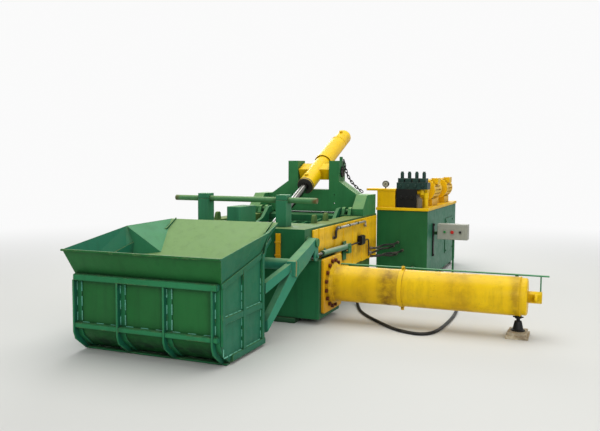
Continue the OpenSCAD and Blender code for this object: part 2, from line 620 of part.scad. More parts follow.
// Flared upper rim of the bucket, four plates and a thin edge strip.
module bucket_rim() color([0.24, 0.50, 0.41]) {
    w = bucket_half_w - bucket_rib_d + 30;
    quad_plate([[-w - 10, -1600, 637], [w + 10, -1600, 637], [710, -1695, 835], [-710, -1695, 835]], [0, -10, 0]);
    for (s = [-1, 1]) {
        p = [[s * w, -1600, 637], [s * w, -948, 785], [s * 700, -1100, 872], [s * 700, -1695, 835]];
        q = [[s * w, -948, 785], [s * w, -540, 911], [s * 655, -560, 917], [s * 700, -1100, 872]];
        quad_plate(p, [s * 10, 0, 0]);
        quad_plate(q, [s * 10, 0, 0]);
    }
    quad_plate([[-710, -1705, 820], [710, -1705, 820], [720, -1720, 837], [-720, -1720, 837]], [0, 12, 10]);
}

// Arms of the bucket with lever plates, elbow and spread beams, and the tube.
module arm_half() {
    x1 = arm_x0 + arm_t;
    difference() {
        union() {
            side_plate([[pivot[0] + 20, pivot[1] + 40], [pivot[0] - 8, pivot[1] + 45], [-300, 765], [-600, 680],
                [-612, 560], [-560, 540], [-300, 630], [pivot[0] - 50, pivot[1] - 60], [pivot[0] - 50, lever_pin[1] - 25],
                [pivot[0] - 22, lever_pin[1] - 44], [pivot[0] + 20, lever_pin[1] - 40], [pivot[0] + 42, lever_pin[1] - 10],
                [pivot[0] + 40, pivot[1] + 10]], arm_x0, x1);
        }
        rod_x([arm_x0 - 1, pivot[0], pivot[1]], arm_t + 2, pivot_d + 2 * gap);
        block([slot_c - slot_w / 2, -200, 500], [slot_c + slot_w / 2, 0, pivot[1] - 40]);
        block([slot_c - slot_w / 2, pivot[0] + 34, 500], [slot_c + slot_w / 2, 0, pivot[1] + 20]);
        block([slot_c - slot_w / 2, pivot[0] + 24, 500], [slot_c + slot_w / 2, 0, pivot[1] - 22]);
    }
    for (x = [arm_x0 - 6, slot_c + slot_w / 2]) rod_x([x, lever_pin[0], lever_pin[1]], slot_c - slot_w / 2 - arm_x0 + 6, 34);
}
module arm_beams() {
    x1 = arm_x0 + arm_t;
    translate([x1, -560, 0]) rotate([0, 0, -23.6]) {
        translate([-arm_t, 0, 0]) side_plate([[30, 560], [30, 668], [-20, 660], [-352, 190], [-352, 90]], 0, arm_t - 8);
        translate([-arm_t, 0, 0]) side_plate([[20, 668], [-40, 672], [-345, 530], [-345, 440], [-60, 590]], 6, arm_t - 16);
    }
}
module bucket_arms() color([0.20, 0.46, 0.37]) {
    both() {
        arm_half();
        difference() {
            arm_beams();
            side_plate([[-2000, -20], [-848.18, -20], [-880.91, 700], [-2000, 700]], 0, 2000);
        }
    }
    rod_x([-arm_x0 - 5, -500, 640], 2 * arm_x0 + 10, cross_tube_d);
}

// Lid of the charging box: pressing plate, tapered ribs and hinge arms.
module lid() color([0.24, 0.42, 0.34]) {
    x = lid_half_w;
    block([-x, 560, lid_z], [x, 1612, lid_z + lid_plate_t]);
    block([-x, 560, lid_z + lid_plate_t], [x, 584, 640]);
    block([-x, 1588, lid_z + lid_plate_t], [x, 1612, 840]);
    rib = [[584, lid_z + lid_plate_t], [584, 640], [1450, 870], [1588, 880], [1588, lid_z + lid_plate_t]];
    for (s = [-1, 1]) side_plate(rib, s * 250 - lid_rib_t / 2, s * 250 + lid_rib_t / 2);
    difference() {
        union() {
            both() side_plate([[584, lid_z + lid_plate_t], [584, 640], [1440, 880], [1600, 1000], [lid_hinge[0] - 8, 1009],
                [lid_hinge[0] + 30, 1000], [lid_hinge[0] + 45, lid_hinge[1]], [lid_hinge[0] + 24, 926], [1632, 926],
                [1606, 900], [1606, lid_z + lid_plate_t]], 430, 470);
        }
        rod_x([400, lid_hinge[0], lid_hinge[1]], 100, hinge_pin_d + 2 * gap);
        rod_x([-500, lid_hinge[0], lid_hinge[1]], 100, hinge_pin_d + 2 * gap);
    }
    both() difference() {
        side_plate([[584, lid_z + lid_plate_t], [584, 640], [568, 700], [566, 790], [590, 822], [640, 826],
            [676, 800], [760, 687], [1450, 830], [1588, 840], [1588, lid_z + lid_plate_t]], 52, 82);
        rod_x([50, lid_pin[0], lid_pin[1]], 34, 50);
    }
    for (s = [-1, 1]) rod_x([s * 73 - 21, lid_pin[0], lid_pin[1]], 42, 50);
}

// Lid cylinder barrel with gland ring, trunnion block, ports and end cap.
module lid_barrel() color([0.85, 0.66, 0.08]) tipped(trunnion, lid_tilt) {
    difference() {
        union() {
            translate([0, -420, 0]) rotate([-90, 0, 0]) cylinder(h = 1590, d = lid_od);
            translate([0, -428, 0]) rotate([-90, 0, 0]) cylinder(h = 70, d = 185);
            block([-198, -90, -70], [198, 90, 70]);
            rod_x([-334, 0, 0], 668, trunnion_d);
            translate([0, 1166, 0]) rotate([-90, 0, 0]) cylinder(h = 14, d = lid_od - 20);
            translate([0, -330, 80]) cylinder(h = 44, d = 46, $fn = 24);
            translate([0, 1080, 80]) cylinder(h = 44, d = 46, $fn = 24);
        }
        translate([0, -430, 0]) rotate([-90, 0, 0]) cylinder(h = 90, d = lid_rod_d + 2 * gap);
        translate([0, -350, 0]) rotate([-90, 0, 0]) cylinder(h = 1480, d = 160);
    }
}

// Yellow half shell guard over the lid cylinder with its hoop.
module lid_guard() color([0.85, 0.68, 0.10]) tipped(trunnion, lid_tilt) difference() {
    union() {
        translate([0, 256, 0]) rotate([-90, 0, 0]) difference() {
            cylinder(h = 623, d = 232);
            translate([0, 0, -1]) cylinder(h = 625, d = 220);
            translate([-200, 8, -2]) cube([400, 200, 640]);
        }
        translate([0, 879, 0]) rotate([-90, 0, 0]) difference() {
            cylinder(h = 12, d = 240);
            translate([0, 0, -1]) cylinder(h = 14, d = lid_od + 0.2);
            translate([-200, 8, -2]) cube([400, 200, 16]);
        }
        for (y = [330, 620, 840]) translate([0, y, 0]) rotate([-90, 0, 0]) difference() {
            cylinder(h = 10, d = 221);
            translate([0, 0, -1]) cylinder(h = 12, d = lid_od + 0.2);
            translate([-200, 8, -2]) cube([400, 200, 16]);
        }
    }
    translate([0, -1, -1]) cube([0.01, 0.01, 0.01]);
}

// Chrome rod of the lid cylinder with its eye and piston.
module lid_rod() color([0.75, 0.76, 0.77]) tipped(trunnion, lid_tilt) {
    l = norm([trunnion[0] - lid_pin[0], trunnion[1] - lid_pin[1]]);
    translate([0, -l + 30, 0]) rotate([-90, 0, 0]) cylinder(h = l - 320, d = lid_rod_d);
    translate([0, -290, 0]) rotate([-90, 0, 0]) cylinder(h = 60, d = 160 - 2 * gap);
    rod_x([-40, -l, 0], 80, 100);
}

// Tilt cylinder barrel and rod, one of each on either side.
module tilt_barrel_half() tipped(tilt_pivot, -tilt_rest) {
    difference() {
        union() {
            translate([slot_c, -760, 0]) rotate([-90, 0, 0]) cylinder(h = 706, d = tilt_od);
            translate([slot_c, -768, 0]) rotate([-90, 0, 0]) cylinder(h = 34, d = tilt_od + 2);
            rod_x([slot_c - 18, 0, 0], 36, 64);
            block([slot_c - 14, -60, -16], [slot_c + 14, -20, 16]);
            translate([slot_c, -700, 22]) cylinder(h = 24, d = 20, $fn = 24);
            translate([slot_c, -110, 22]) cylinder(h = 24, d = 20, $fn = 24);
        }
        rod_x([slot_c - 40, 0, 0], 80, 30 + 2 * gap);
        translate([slot_c, -770, 0]) rotate([-90, 0, 0]) cylinder(h = 50, d = tilt_rod_d + 2 * gap);
        translate([slot_c, -730, 0]) rotate([-90, 0, 0]) cylinder(h = 660, d = 46);
    }
}
module tilt_rod_half() tipped(tilt_pivot, -tilt_rest) {
    l = norm([tilt_pivot[0] - lever_pin[0], tilt_pivot[1] - lever_pin[1]]);
    translate([slot_c, -l + 20, 0]) rotate([-90, 0, 0]) cylinder(h = 420, d = tilt_rod_d);
    translate([slot_c, -l + 430, 0]) rotate([-90, 0, 0]) cylinder(h = 40, d = 46 - 2 * gap);
    rod_x([slot_c - 19, -l, 0], 38, 66);
}
module tilt_barrel_r() color([0.20, 0.46, 0.37]) tilt_barrel_half();
module tilt_barrel_l() color([0.20, 0.46, 0.37]) mirror([1, 0, 0]) tilt_barrel_half();
module tilt_rod_r() color([0.75, 0.76, 0.77]) tilt_rod_half();
module tilt_rod_l() color([0.75, 0.76, 0.77]) mirror([1, 0, 0]) tilt_rod_half();

// Main platen with its rod and piston inside the barrel.
module main_ram() color([0.45, 0.44, 0.42]) {
    block([wall_in, tun_y0 + 3, floor_z + 3], [seat_x - 60, tun_y1 - 3, tun_z1 - 3]);
    rod_x([seat_x - 61, axis_y, axis_z], 1100, main_rod_d);
    rod_x([seat_x + 1030, axis_y, axis_z], 120, main_bore - 2 * gap);
}

// Charging ram with its face plate, rod and piston.
module charge_ram() color([0.42, 0.40, 0.37]) {
    difference() {
        block([-wall_in + 5, 1440, floor_z + 3], [wall_in - 5, 1900, tun_z1 - 3]);
        for (x = [-350, 0, 350]) block([x - 150, 1475, floor_z + 40], [x + 150, 1860 + (x == 0 ? -40 : 41), tun_z1 - 40]);
    }
    rod_y([0, 1880, axis_z], body_len - 900, ram_rod_d);
    rod_y([0, body_len + 972, axis_z], 76, ram_bore - 2 * gap);
}

// Oil tank on its feet, with inspection covers on the side.
module tank() color([0.20, 0.42, 0.33]) {
    x1 = tank_x0 + tank_w;
    y1 = tank_y0 + tank_len;
    difference() {
        block([tank_x0, tank_y0, 60], [x1, y1, tank_top]);
        block([tank_x0 + 12, tank_y0 + 12, 72], [x1 - 12, y1 - 12, tank_top + 1]);
    }
    for (x = [tank_x0 + 40, x1 - 120]) for (y = [tank_y0 + 60, y1 - 160]) block([x, y, 0], [x + 80, y + 100, 60]);
    block([x1, tank_y0 + 1250, 250], [x1 + 10, tank_y0 + 1850, 750]);
    for (y = [tank_y0 + 1290, tank_y0 + 1810]) for (z = [290, 500, 710]) rod_x([x1 + 10, y, z], 10, 24);
    rod_y([1120, tank_y0 - 30, 200], 30, 50);
}

// Yellow deck plate of the tank and the yellow box that stands on it.
module tank_deck() color([0.82, 0.64, 0.08]) {
    x1 = tank_x0 + tank_w + 12;
    block([tank_x0 - 12, tank_y0 - 12, tank_top], [x1, tank_y0 + tank_len + 12, tank_top + 37]);
    block([630, tank_y0 + 10, tank_top + 37], [868, tank_y0 + 260, 1180]);
    block([486, tank_y0 + 4, 1180], [874, tank_y0 + 266, 1208]);
    side_plate([[tank_y0 + 60, 1090], [tank_y0 + 60, 1180], [tank_y0 + 210, 1180], [tank_y0 + 210, 1090]], 618, 630);
}

// Pressure gauge standing on the yellow box, with its needle.
module gauge_case() color([0.15, 0.15, 0.15]) {
    rod_z([735, tank_y0 + 40, 1208], 24, 18);
    difference() {
        rod_y([735, tank_y0 + 20, 1268], 40, 84);
        rod_y([735, tank_y0 + 19, 1268], 9, 74);
    }
    rod_y([735, tank_y0 + 22, 1268], 6, 8);
}
module gauge_needle() color([0.05, 0.05, 0.05]) {
    difference() {
        rod_y([735, tank_y0 + 23, 1268], 3, 16);
        rod_y([735, tank_y0 + 20, 1268], 10, 8 + 2 * gap);
    }
    translate([735, tank_y0 + 23, 1268]) rotate([0, 45, 0]) block([-1.5, 0.5, -32], [1.5, 2.5, -6]);
}

// Black pump manifold and the valve stack on top of it.
module manifold() color([0.09, 0.09, 0.09]) {
    block([883, tank_y0 + 20, tank_top + 37], [1143, tank_y0 + 240, 1204]);
    for (x = [940, 1010, 1080]) rod_y([x, tank_y0, 1100], 20, 44);
}
module valve_stack() color([0.16, 0.33, 0.27]) {
    block([825 + 55, tank_y0 + 30, 1204], [1277, tank_y0 + 230, 1290]);
    for (i = [0 : 3]) {
        x = 930 + i * 95;
        block([x - 38, tank_y0 + 50, 1290], [x + 38, tank_y0 + 210, 1345]);
        rod_z([x, tank_y0 + 130, 1345], 70, 46);
        rod_z([x, tank_y0 + 130, 1415], 16, 34);
        rod_y([x, tank_y0 + 6, 1250], 24, 34);
    }
}

// Yellow suction pipe bend and the canister beside it.
module suction_pipe() color([0.82, 0.64, 0.08]) {
    pipe_run([[1250, tank_y0 + 90, tank_top + 37], [1250, tank_y0 + 90, 1130], [1200, tank_y0 + 90, 1168], [1143, tank_y0 + 90, 1168]], 60);
    rod_z([1250, tank_y0 + 90, tank_top + 37], 14, 90);
}
module filter_canister() color([0.42, 0.39, 0.34]) {
    rod_z([1182, tank_y0 + 30, tank_top + 37], 120, 72);
    rod_z([1182, tank_y0 + 30, tank_top + 157], 14, 40);
}

// Electric motors with cooling fins, coupled to pumps over the tank.
module motor(y) {
    difference() {
        rod_y([1130, y, 1180], 460, 290);
        for (a = [0 : 20 : 340]) translate([1130, y + 40, 1180]) rotate([0, a, 0]) translate([134, 0, -7]) cube([30, 380, 14]);
    }
    rod_y([1130, y + 460, 1180], 70, 270);
    rod_y([1130, y - 110, 1180], 110, 150);
    rod_y([1130, y - 250, 1180], 140, 190);
    block([1030, y + 40, tank_top + 37], [1230, y + 400, 1060]);
    block([1080, y - 240, tank_top + 37], [1180, y - 140, 1110]);
    block([1200, y + 120, 1260], [1290, y + 300, 1340]);
}
module pump_motor() color([0.80, 0.62, 0.10]) {
    motor(tank_y0 + 560);
    motor(tank_y0 + 1480);
}

// Tall oil level gauge on the side of the tank.
module level_gauge() color([0.08, 0.08, 0.08]) {
    x1 = tank_x0 + tank_w;
    block([x1, tank_y0 + 330, 320], [x1 + 16, tank_y0 + 380, 750]);
    for (z = [335, 735]) rod_x([x1 + 16, tank_y0 + 355, z], 10, 26);
}

// Control box with bores for its buttons, and its bracket and conduit.
module control_box() color([0.62, 0.63, 0.62]) difference() {
    union() {
        block([tank_x1 + 68, 2960, 550], [tank_x1 + 455, 3110, 750]);
        block([tank_x1 + 74, 2954, 556], [tank_x1 + 449, 2960, 744]);
        for (x = button_x) rod_y([x, 2946, 650], 8, 46);
    }
    for (x = button_x) rod_y([x, 2940, 650], 24, button_d + 2 * gap);
}
module control_bracket() color([0.20, 0.42, 0.33]) {
    block([tank_x1, 3050, 600], [tank_x1 + 68, 3090, 640]);
    block([tank_x1, 3036, 570], [tank_x1 + 8, 3104, 670]);
    rod_z([button_x[1], 3040, 0], 550, 26);
    rod_z([button_x[1], 3040, 0], 10, 120);
}
module push(x, d, h) {
    rod_y([x, 2954 - h, 650], h - 0.5, button_d);
    rod_y([x, 2954 - h - 6, 650], 6, d);
}
module start_button() color([0.10, 0.45, 0.18]) push(button_x[0], 28, 12);
module stop_button() color([0.70, 0.08, 0.06]) push(button_x[1], 44, 22);
module jog_button() color([0.08, 0.08, 0.08]) push(button_x[2], 28, 12);

// Loose hose lying on the floor between the body and the tank.
module floor_hose() color([0.06, 0.06, 0.06]) swept_tube(curve(hose_route, 3), hose_d, 8);

feet();
chamber_block();
front_header();
side_walls();
wall_skins();
box_floor();
rear_frame();
bar_posts();
cross_bar();
centre_block();
front_conduit();
tower();
hinge_brackets();
trunnion_caps();
chain();
flange_plate();
flange_bolts();
main_barrel();
band_clamp();
cylinder_rail();
screw_jack();
jack_screw();
wood_blocks();
ram_barrel();
door_guides();
door();
junction_box();
wall_pipe();
feed_pipes();
tilt_mounts();
bucket_shell();
bucket_ribs();
bucket_rim();
bucket_arms();
lid();
lid_barrel();
lid_guard();
lid_rod();
tilt_barrel_r();
tilt_barrel_l();
tilt_rod_r();
tilt_rod_l();
main_ram();
charge_ram();
tank();
tank_deck();
gauge_case();
gauge_needle();
manifold();
valve_stack();
suction_pipe();
filter_canister();
pump_motor();
level_gauge();
control_box();
control_bracket();
start_button();
stop_button();
jog_button();
floor_hose();
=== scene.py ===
import json
import math

import bmesh
import bpy
from mathutils import Matrix, Vector


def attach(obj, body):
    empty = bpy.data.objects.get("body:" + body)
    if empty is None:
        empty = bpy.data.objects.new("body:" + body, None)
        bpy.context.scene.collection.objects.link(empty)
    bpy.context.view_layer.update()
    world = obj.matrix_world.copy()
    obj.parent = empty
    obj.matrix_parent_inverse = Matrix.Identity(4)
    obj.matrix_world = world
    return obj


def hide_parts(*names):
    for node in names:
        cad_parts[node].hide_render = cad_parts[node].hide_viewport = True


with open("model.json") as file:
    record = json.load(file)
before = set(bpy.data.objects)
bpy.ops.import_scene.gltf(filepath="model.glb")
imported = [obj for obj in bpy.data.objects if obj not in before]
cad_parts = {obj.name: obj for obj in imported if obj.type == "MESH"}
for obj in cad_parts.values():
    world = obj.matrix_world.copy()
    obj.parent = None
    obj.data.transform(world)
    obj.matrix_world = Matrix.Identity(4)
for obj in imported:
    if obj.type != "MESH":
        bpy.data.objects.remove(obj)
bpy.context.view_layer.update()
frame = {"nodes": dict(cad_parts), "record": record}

scene = bpy.context.scene
scene.view_settings.view_transform = "Standard"


# Viewpoint. The camera stands to the right of the bucket at the height of a
# person's eyes and looks slightly down along the charging box. Its place,
# turn and lens were solved from the straight edges of the body.
def shown(name, data):
    """A new object in the scene that shows a mesh, a lamp or a camera."""
    obj = bpy.data.objects.new(name, data)
    scene.collection.objects.link(obj)
    return obj


eye = (3.013, -5.915, 1.50)
heading, pitch, roll = math.radians(22.0), math.radians(4.205), math.radians(0.33)
level = Vector((math.cos(heading), math.sin(heading), 0.0))
forward = Vector((-level.y * math.cos(pitch), level.x * math.cos(pitch), -math.sin(pitch)))
upward = level.cross(forward)
right = math.cos(roll) * level + math.sin(roll) * upward
top = -math.sin(roll) * level + math.cos(roll) * upward
view_camera = bpy.data.cameras.new("viewpoint")
view_camera.sensor_width = 36.0
view_camera.lens = 40.8
view_camera.clip_end = 200.0
viewpoint = shown("viewpoint", view_camera)
viewpoint.matrix_world = Matrix.Translation(eye) @ Matrix((right, top, -forward)).transposed().to_4x4()
scene.camera = viewpoint


# Studio floor and light. A pale matt floor that fades to white far from the
# baler, a pale surround that only the lens, gloss and glass see at full
# strength, and three large soft lamps.
def linear(red, green, blue):
    """A paint colour written as 0 to 255 screen values, as linear RGBA."""
    def one(v):
        v = v / 255.0
        return v / 12.92 if v <= 0.04045 else ((v + 0.055) / 1.055) ** 2.4
    return (one(red), one(green), one(blue), 1.0)


def nodes_of(name):
    """A new material with its node tree, its shader and its place on the object."""
    mat = bpy.data.materials.new(name)
    mat.use_nodes = True
    tree = mat.node_tree
    return mat, tree, tree.nodes["Principled BSDF"], tree.nodes.new("ShaderNodeTexCoord").outputs["Object"]


def feed(tree, socket, value):
    """Sets a socket to a value, or joins it to an output or a node's first one."""
    if isinstance(value, bpy.types.Node):
        value = value.outputs[0]
    if isinstance(value, bpy.types.NodeSocket):
        tree.links.new(value, socket)
    else:
        socket.default_value = value


def add(tree, kind, setup=None, **sockets):
    """A node with its options from setup and its sockets fed by name, or by
    number where the key is i and a number. A bare kind is a shader node."""
    node = tree.nodes.new(kind if "Node" in kind else "ShaderNode" + kind)
    for key, value in (setup or {}).items():
        setattr(node, key, value)
    for key, value in sockets.items():
        numbered = key[0] == "i" and key[1:].isdigit()
        feed(tree, node.inputs[int(key[1:]) if numbered else key.replace("_", " ")], value)
    return node


def maths(tree, operation, first, second=0.5, clamp=False):
    """The result of one arithmetic node."""
    setup = {"operation": operation, "use_clamp": clamp}
    return add(tree, "Math", setup, i0=first, i1=second).outputs[0]


fade_centre, fade_start, fade_end = (0.9, 0.6, 0.0), 3.2, 12.0
seen_white = 0.96
floor_paint, floor_tree, floor_shader, floor_place = nodes_of("pale_floor")
floor_shader.inputs["Base Color"].default_value = linear(214, 213, 209)
floor_shader.inputs["Roughness"].default_value = 0.85
floor_far = add(floor_tree, "VectorMath", {"operation": "DISTANCE"},
                i0=floor_place, i1=fade_centre)
floor_fade = add(floor_tree, "MapRange", {"interpolation_type": "SMOOTHSTEP"},
                 Value=floor_far.outputs["Value"], From_Min=fade_start, From_Max=fade_end)
floor_share = maths(floor_tree, "MULTIPLY", floor_fade,
                    add(floor_tree, "LightPath").outputs["Is Camera Ray"])
floor_glow = add(floor_tree, "Emission", Strength=seen_white)
floor_mix = add(floor_tree, "MixShader", i0=floor_share, i1=floor_shader,
                i2=floor_glow)
floor_tree.links.new(floor_mix.outputs[0], floor_tree.nodes["Material Output"].inputs["Surface"])
floor_mesh = bpy.data.meshes.new("studio_floor")
floor_mesh.from_pydata([(-30, -30, 0), (30, -30, 0), (30, 40, 0), (-30, 40, 0)], [], [(0, 1, 2, 3)])
floor_mesh.materials.append(floor_paint)
shown("studio_floor", floor_mesh)

world = bpy.data.worlds.new("soft_surround")
scene.world = world
world.use_nodes = True
sky_tree = world.node_tree
sky_tree.nodes.clear()
sky_path = add(sky_tree, "LightPath")
sky_seen = maths(sky_tree, "MAXIMUM", sky_path.outputs["Is Camera Ray"], sky_path.outputs["Is Glossy Ray"])
sky_seen = maths(sky_tree, "MAXIMUM", sky_seen, sky_path.outputs["Is Transmission Ray"])
sky_light = add(sky_tree, "Background", Color=(0.92, 0.96, 1.0, 1.0), Strength=0.42)
sky_white = add(sky_tree, "Background", Color=(1.0, 1.0, 1.0, 1.0), Strength=seen_white)
sky_mix = add(sky_tree, "MixShader", i0=sky_seen, i1=sky_light, i2=sky_white)
add(sky_tree, "OutputWorld", Surface=sky_mix)


def soft_lamp(name, place, target, size, power, tint):
    """A rectangular lamp of two side lengths, turned to its target."""
    lamp = bpy.data.lights.new(name, "AREA")
    lamp.shape = "RECTANGLE"
    lamp.size, lamp.size_y = size
    lamp.energy = power
    lamp.color = tint
    holder = shown(name, lamp)
    holder.location = place
    holder.rotation_euler = (Vector(target) - Vector(place)).to_track_quat("-Z", "Y").to_euler()


soft_lamp("roof_light", (0.5, 1.5, 8.5), (0.5, 1.2, 0), (9, 9), 620, (1.0, 1.0, 0.97))
soft_lamp("front_light", (7.0, -7.5, 4.5), (0.6, 0.4, 0.6), (6, 4), 330, (1.0, 0.99, 0.97))
soft_lamp("window_light", (-4.0, 12.0, 5.0), (0.0, 1.5, 0.8), (9, 4), 520, (0.96, 0.98, 1.0))

# Loose hose on the floor. Black rubber over a braided core, crimped into a
# steel ferrule at the body and at the tank; it lies free between them.
home = {n: b for b, members in frame["record"]["behaviour"]["bodies"].items() for n in members}


def blended(tree, factor, first, second):
    """Mix of two colours, each a socket or a triple of screen values."""
    first, second = (linear(*c) if isinstance(c, tuple) else c for c in (first, second))
    return add(tree, "Mix", {"data_type": "RGBA"}, i0=factor, i6=first, i7=second).outputs[2]


def ramp(tree, value, low, high, to_low=0.0, to_high=1.0):
    """Value stretched from low..high to to_low..to_high, clamped."""
    return add(tree, "MapRange", Value=value, From_Min=low, From_Max=high, To_Min=to_low,
               To_Max=to_high).outputs[0]


def noise(tree, where, scale, detail=4.0, roughness=0.55, stretch=(1.0, 1.0, 1.0), shift=(0.0, 0.0, 0.0)):
    """Cloudy noise from 0 to 1, stretched and shifted."""
    placed = add(tree, "Mapping", Vector=where, Location=shift, Scale=stretch)
    return add(tree, "TexNoise", Vector=placed, Scale=scale, Detail=detail,
               Roughness=roughness).outputs[0]


def surfaced(tree, shader, tone, gloss, height, strength, distance):
    """Feeds colour and roughness to a shader and bumps its surface."""
    bump = add(tree, "Bump", Strength=strength, Distance=distance, Height=height)
    for socket, value in (("Base Color", tone), ("Roughness", gloss), ("Normal", bump)):
        feed(tree, shader.inputs[socket], value)


def rubber(name, colour, dusty, rough):
    """Rubber or crimped metal with dust on it in patches."""
    mat, tree, shader, where = nodes_of(name)
    patches = ramp(tree, noise(tree, where, 7.0, 5.0), 0.42, 0.68)
    fine = noise(tree, where, 160.0, 3.0)
    shader.inputs["Specular IOR Level"].default_value = 0.25
    surfaced(tree, shader, blended(tree, patches, colour, dusty),
             ramp(tree, fine, 0.3, 0.7, rough - 0.08, rough + 0.1), fine, 0.25, 0.002)
    return mat


hose_route = [(0.690, 1.200, 0.230), (0.725, 1.199, 0.226), (0.790, 1.172, 0.170), (0.845, 1.090, 0.080),
              (0.910, 0.950, 0.022), (1.020, 0.700, 0.015), (1.160, 0.490, 0.015), (1.330, 0.290, 0.015),
              (1.500, 0.110, 0.015),
              (1.650, 0.020, 0.015), (1.780, 0.000, 0.015), (1.870, 0.090, 0.015), (1.910, 0.280, 0.015),
              (1.930, 0.600, 0.015), (1.930, 0.930, 0.015), (1.900, 1.250, 0.015), (1.820, 1.600, 0.015),
              (1.700, 1.950, 0.015), (1.560, 2.250, 0.015), (1.400, 2.430, 0.020), (1.250, 2.520, 0.080),
              (1.150, 2.565, 0.160), (1.121, 2.588, 0.198), (1.120, 2.6185, 0.200)]
hose_bore = 0.030


def through(points, steps):
    """Points of the smooth curve through a route, the same as the solid's."""
    out = []
    last = len(points) - 1
    for i in range(last):
        a, b = Vector(points[max(i - 1, 0)]), Vector(points[i])
        c, d = Vector(points[i + 1]), Vector(points[min(i + 2, last)])
        for j in range(steps):
            t = j / steps
            out.append(0.5 * (2 * b + (c - a) * t + (2 * a - 5 * b + 4 * c - d) * t * t
                              + (3 * b - a - 3 * c + d) * t * t * t))
    out.append(Vector(points[last]))
    return out


def painted(name, bm, paint):
    """A finished build of faces as a piece in one paint."""
    bmesh.ops.recalc_face_normals(bm, faces=bm.faces)
    mesh = bpy.data.meshes.new(name)
    bm.to_mesh(mesh)
    bm.free()
    mesh.materials.append(paint)
    return shown(name, mesh)


def swept(name, points, radius, sides, paint):
    """Round bar along points with one radius or one for each point, and with a
    turning frame that never twists."""
    points = [Vector(p) for p in points]
    radii = radius if isinstance(radius, list) else [radius] * len(points)
    bm = bmesh.new()
    side = None
    rings = []
    for before, p, after, r in zip(points[:1] + points, points, points[1:] + points[-1:], radii):
        along = (after - before).normalized()
        if side is None:
            side = along.orthogonal().normalized()
        side = (side - along * side.dot(along)).normalized()
        other = along.cross(side)
        angles = [2 * math.pi * k / sides for k in range(sides)]
        rings.append([bm.verts.new(p + r * (math.cos(a) * side + math.sin(a) * other)) for a in angles])
    for a, b in zip(rings, rings[1:]):
        for k in range(sides):
            bm.faces.new((a[k], a[(k + 1) % sides], b[(k + 1) % sides], b[k]))
    bm.faces.new(list(reversed(rings[0])))
    bm.faces.new(rings[-1])
    obj = painted(name, bm, paint)
    for poly in obj.data.polygons:
        poly.use_smooth = len(poly.vertices) == 4
    return obj


black_rubber = rubber("black_rubber", (22, 22, 21), (62, 58, 50), 0.5)
hose_path = through(hose_route, 6)
floor_hose = swept("floor_hose_rubber", hose_path, hose_bore / 2, 14, black_rubber)
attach(floor_hose, home["floor_hose"])
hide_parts("floor_hose")
crimped = rubber("crimped_steel", (120, 116, 106), (92, 78, 58), 0.4)
ferrule_length, ferrule_lip, ferrule_ridge, ferrule_groove = 0.062, 0.0160, 0.0185, 0.0172
for name, end_points in (("hose_end_body", hose_path[:8]), ("hose_end_tank", list(reversed(hose_path[-8:])))):
    covered = [p for p in end_points if (p - end_points[0]).length < ferrule_length]
    covered = through(covered, 6)
    radii = [ferrule_ridge if (i // 3) % 2 == 0 else ferrule_groove for i in range(len(covered))]
    radii[0] = radii[-1] = ferrule_lip
    ferrule = swept(name, covered, radii, 20, crimped)
    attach(ferrule, home["floor_hose"])


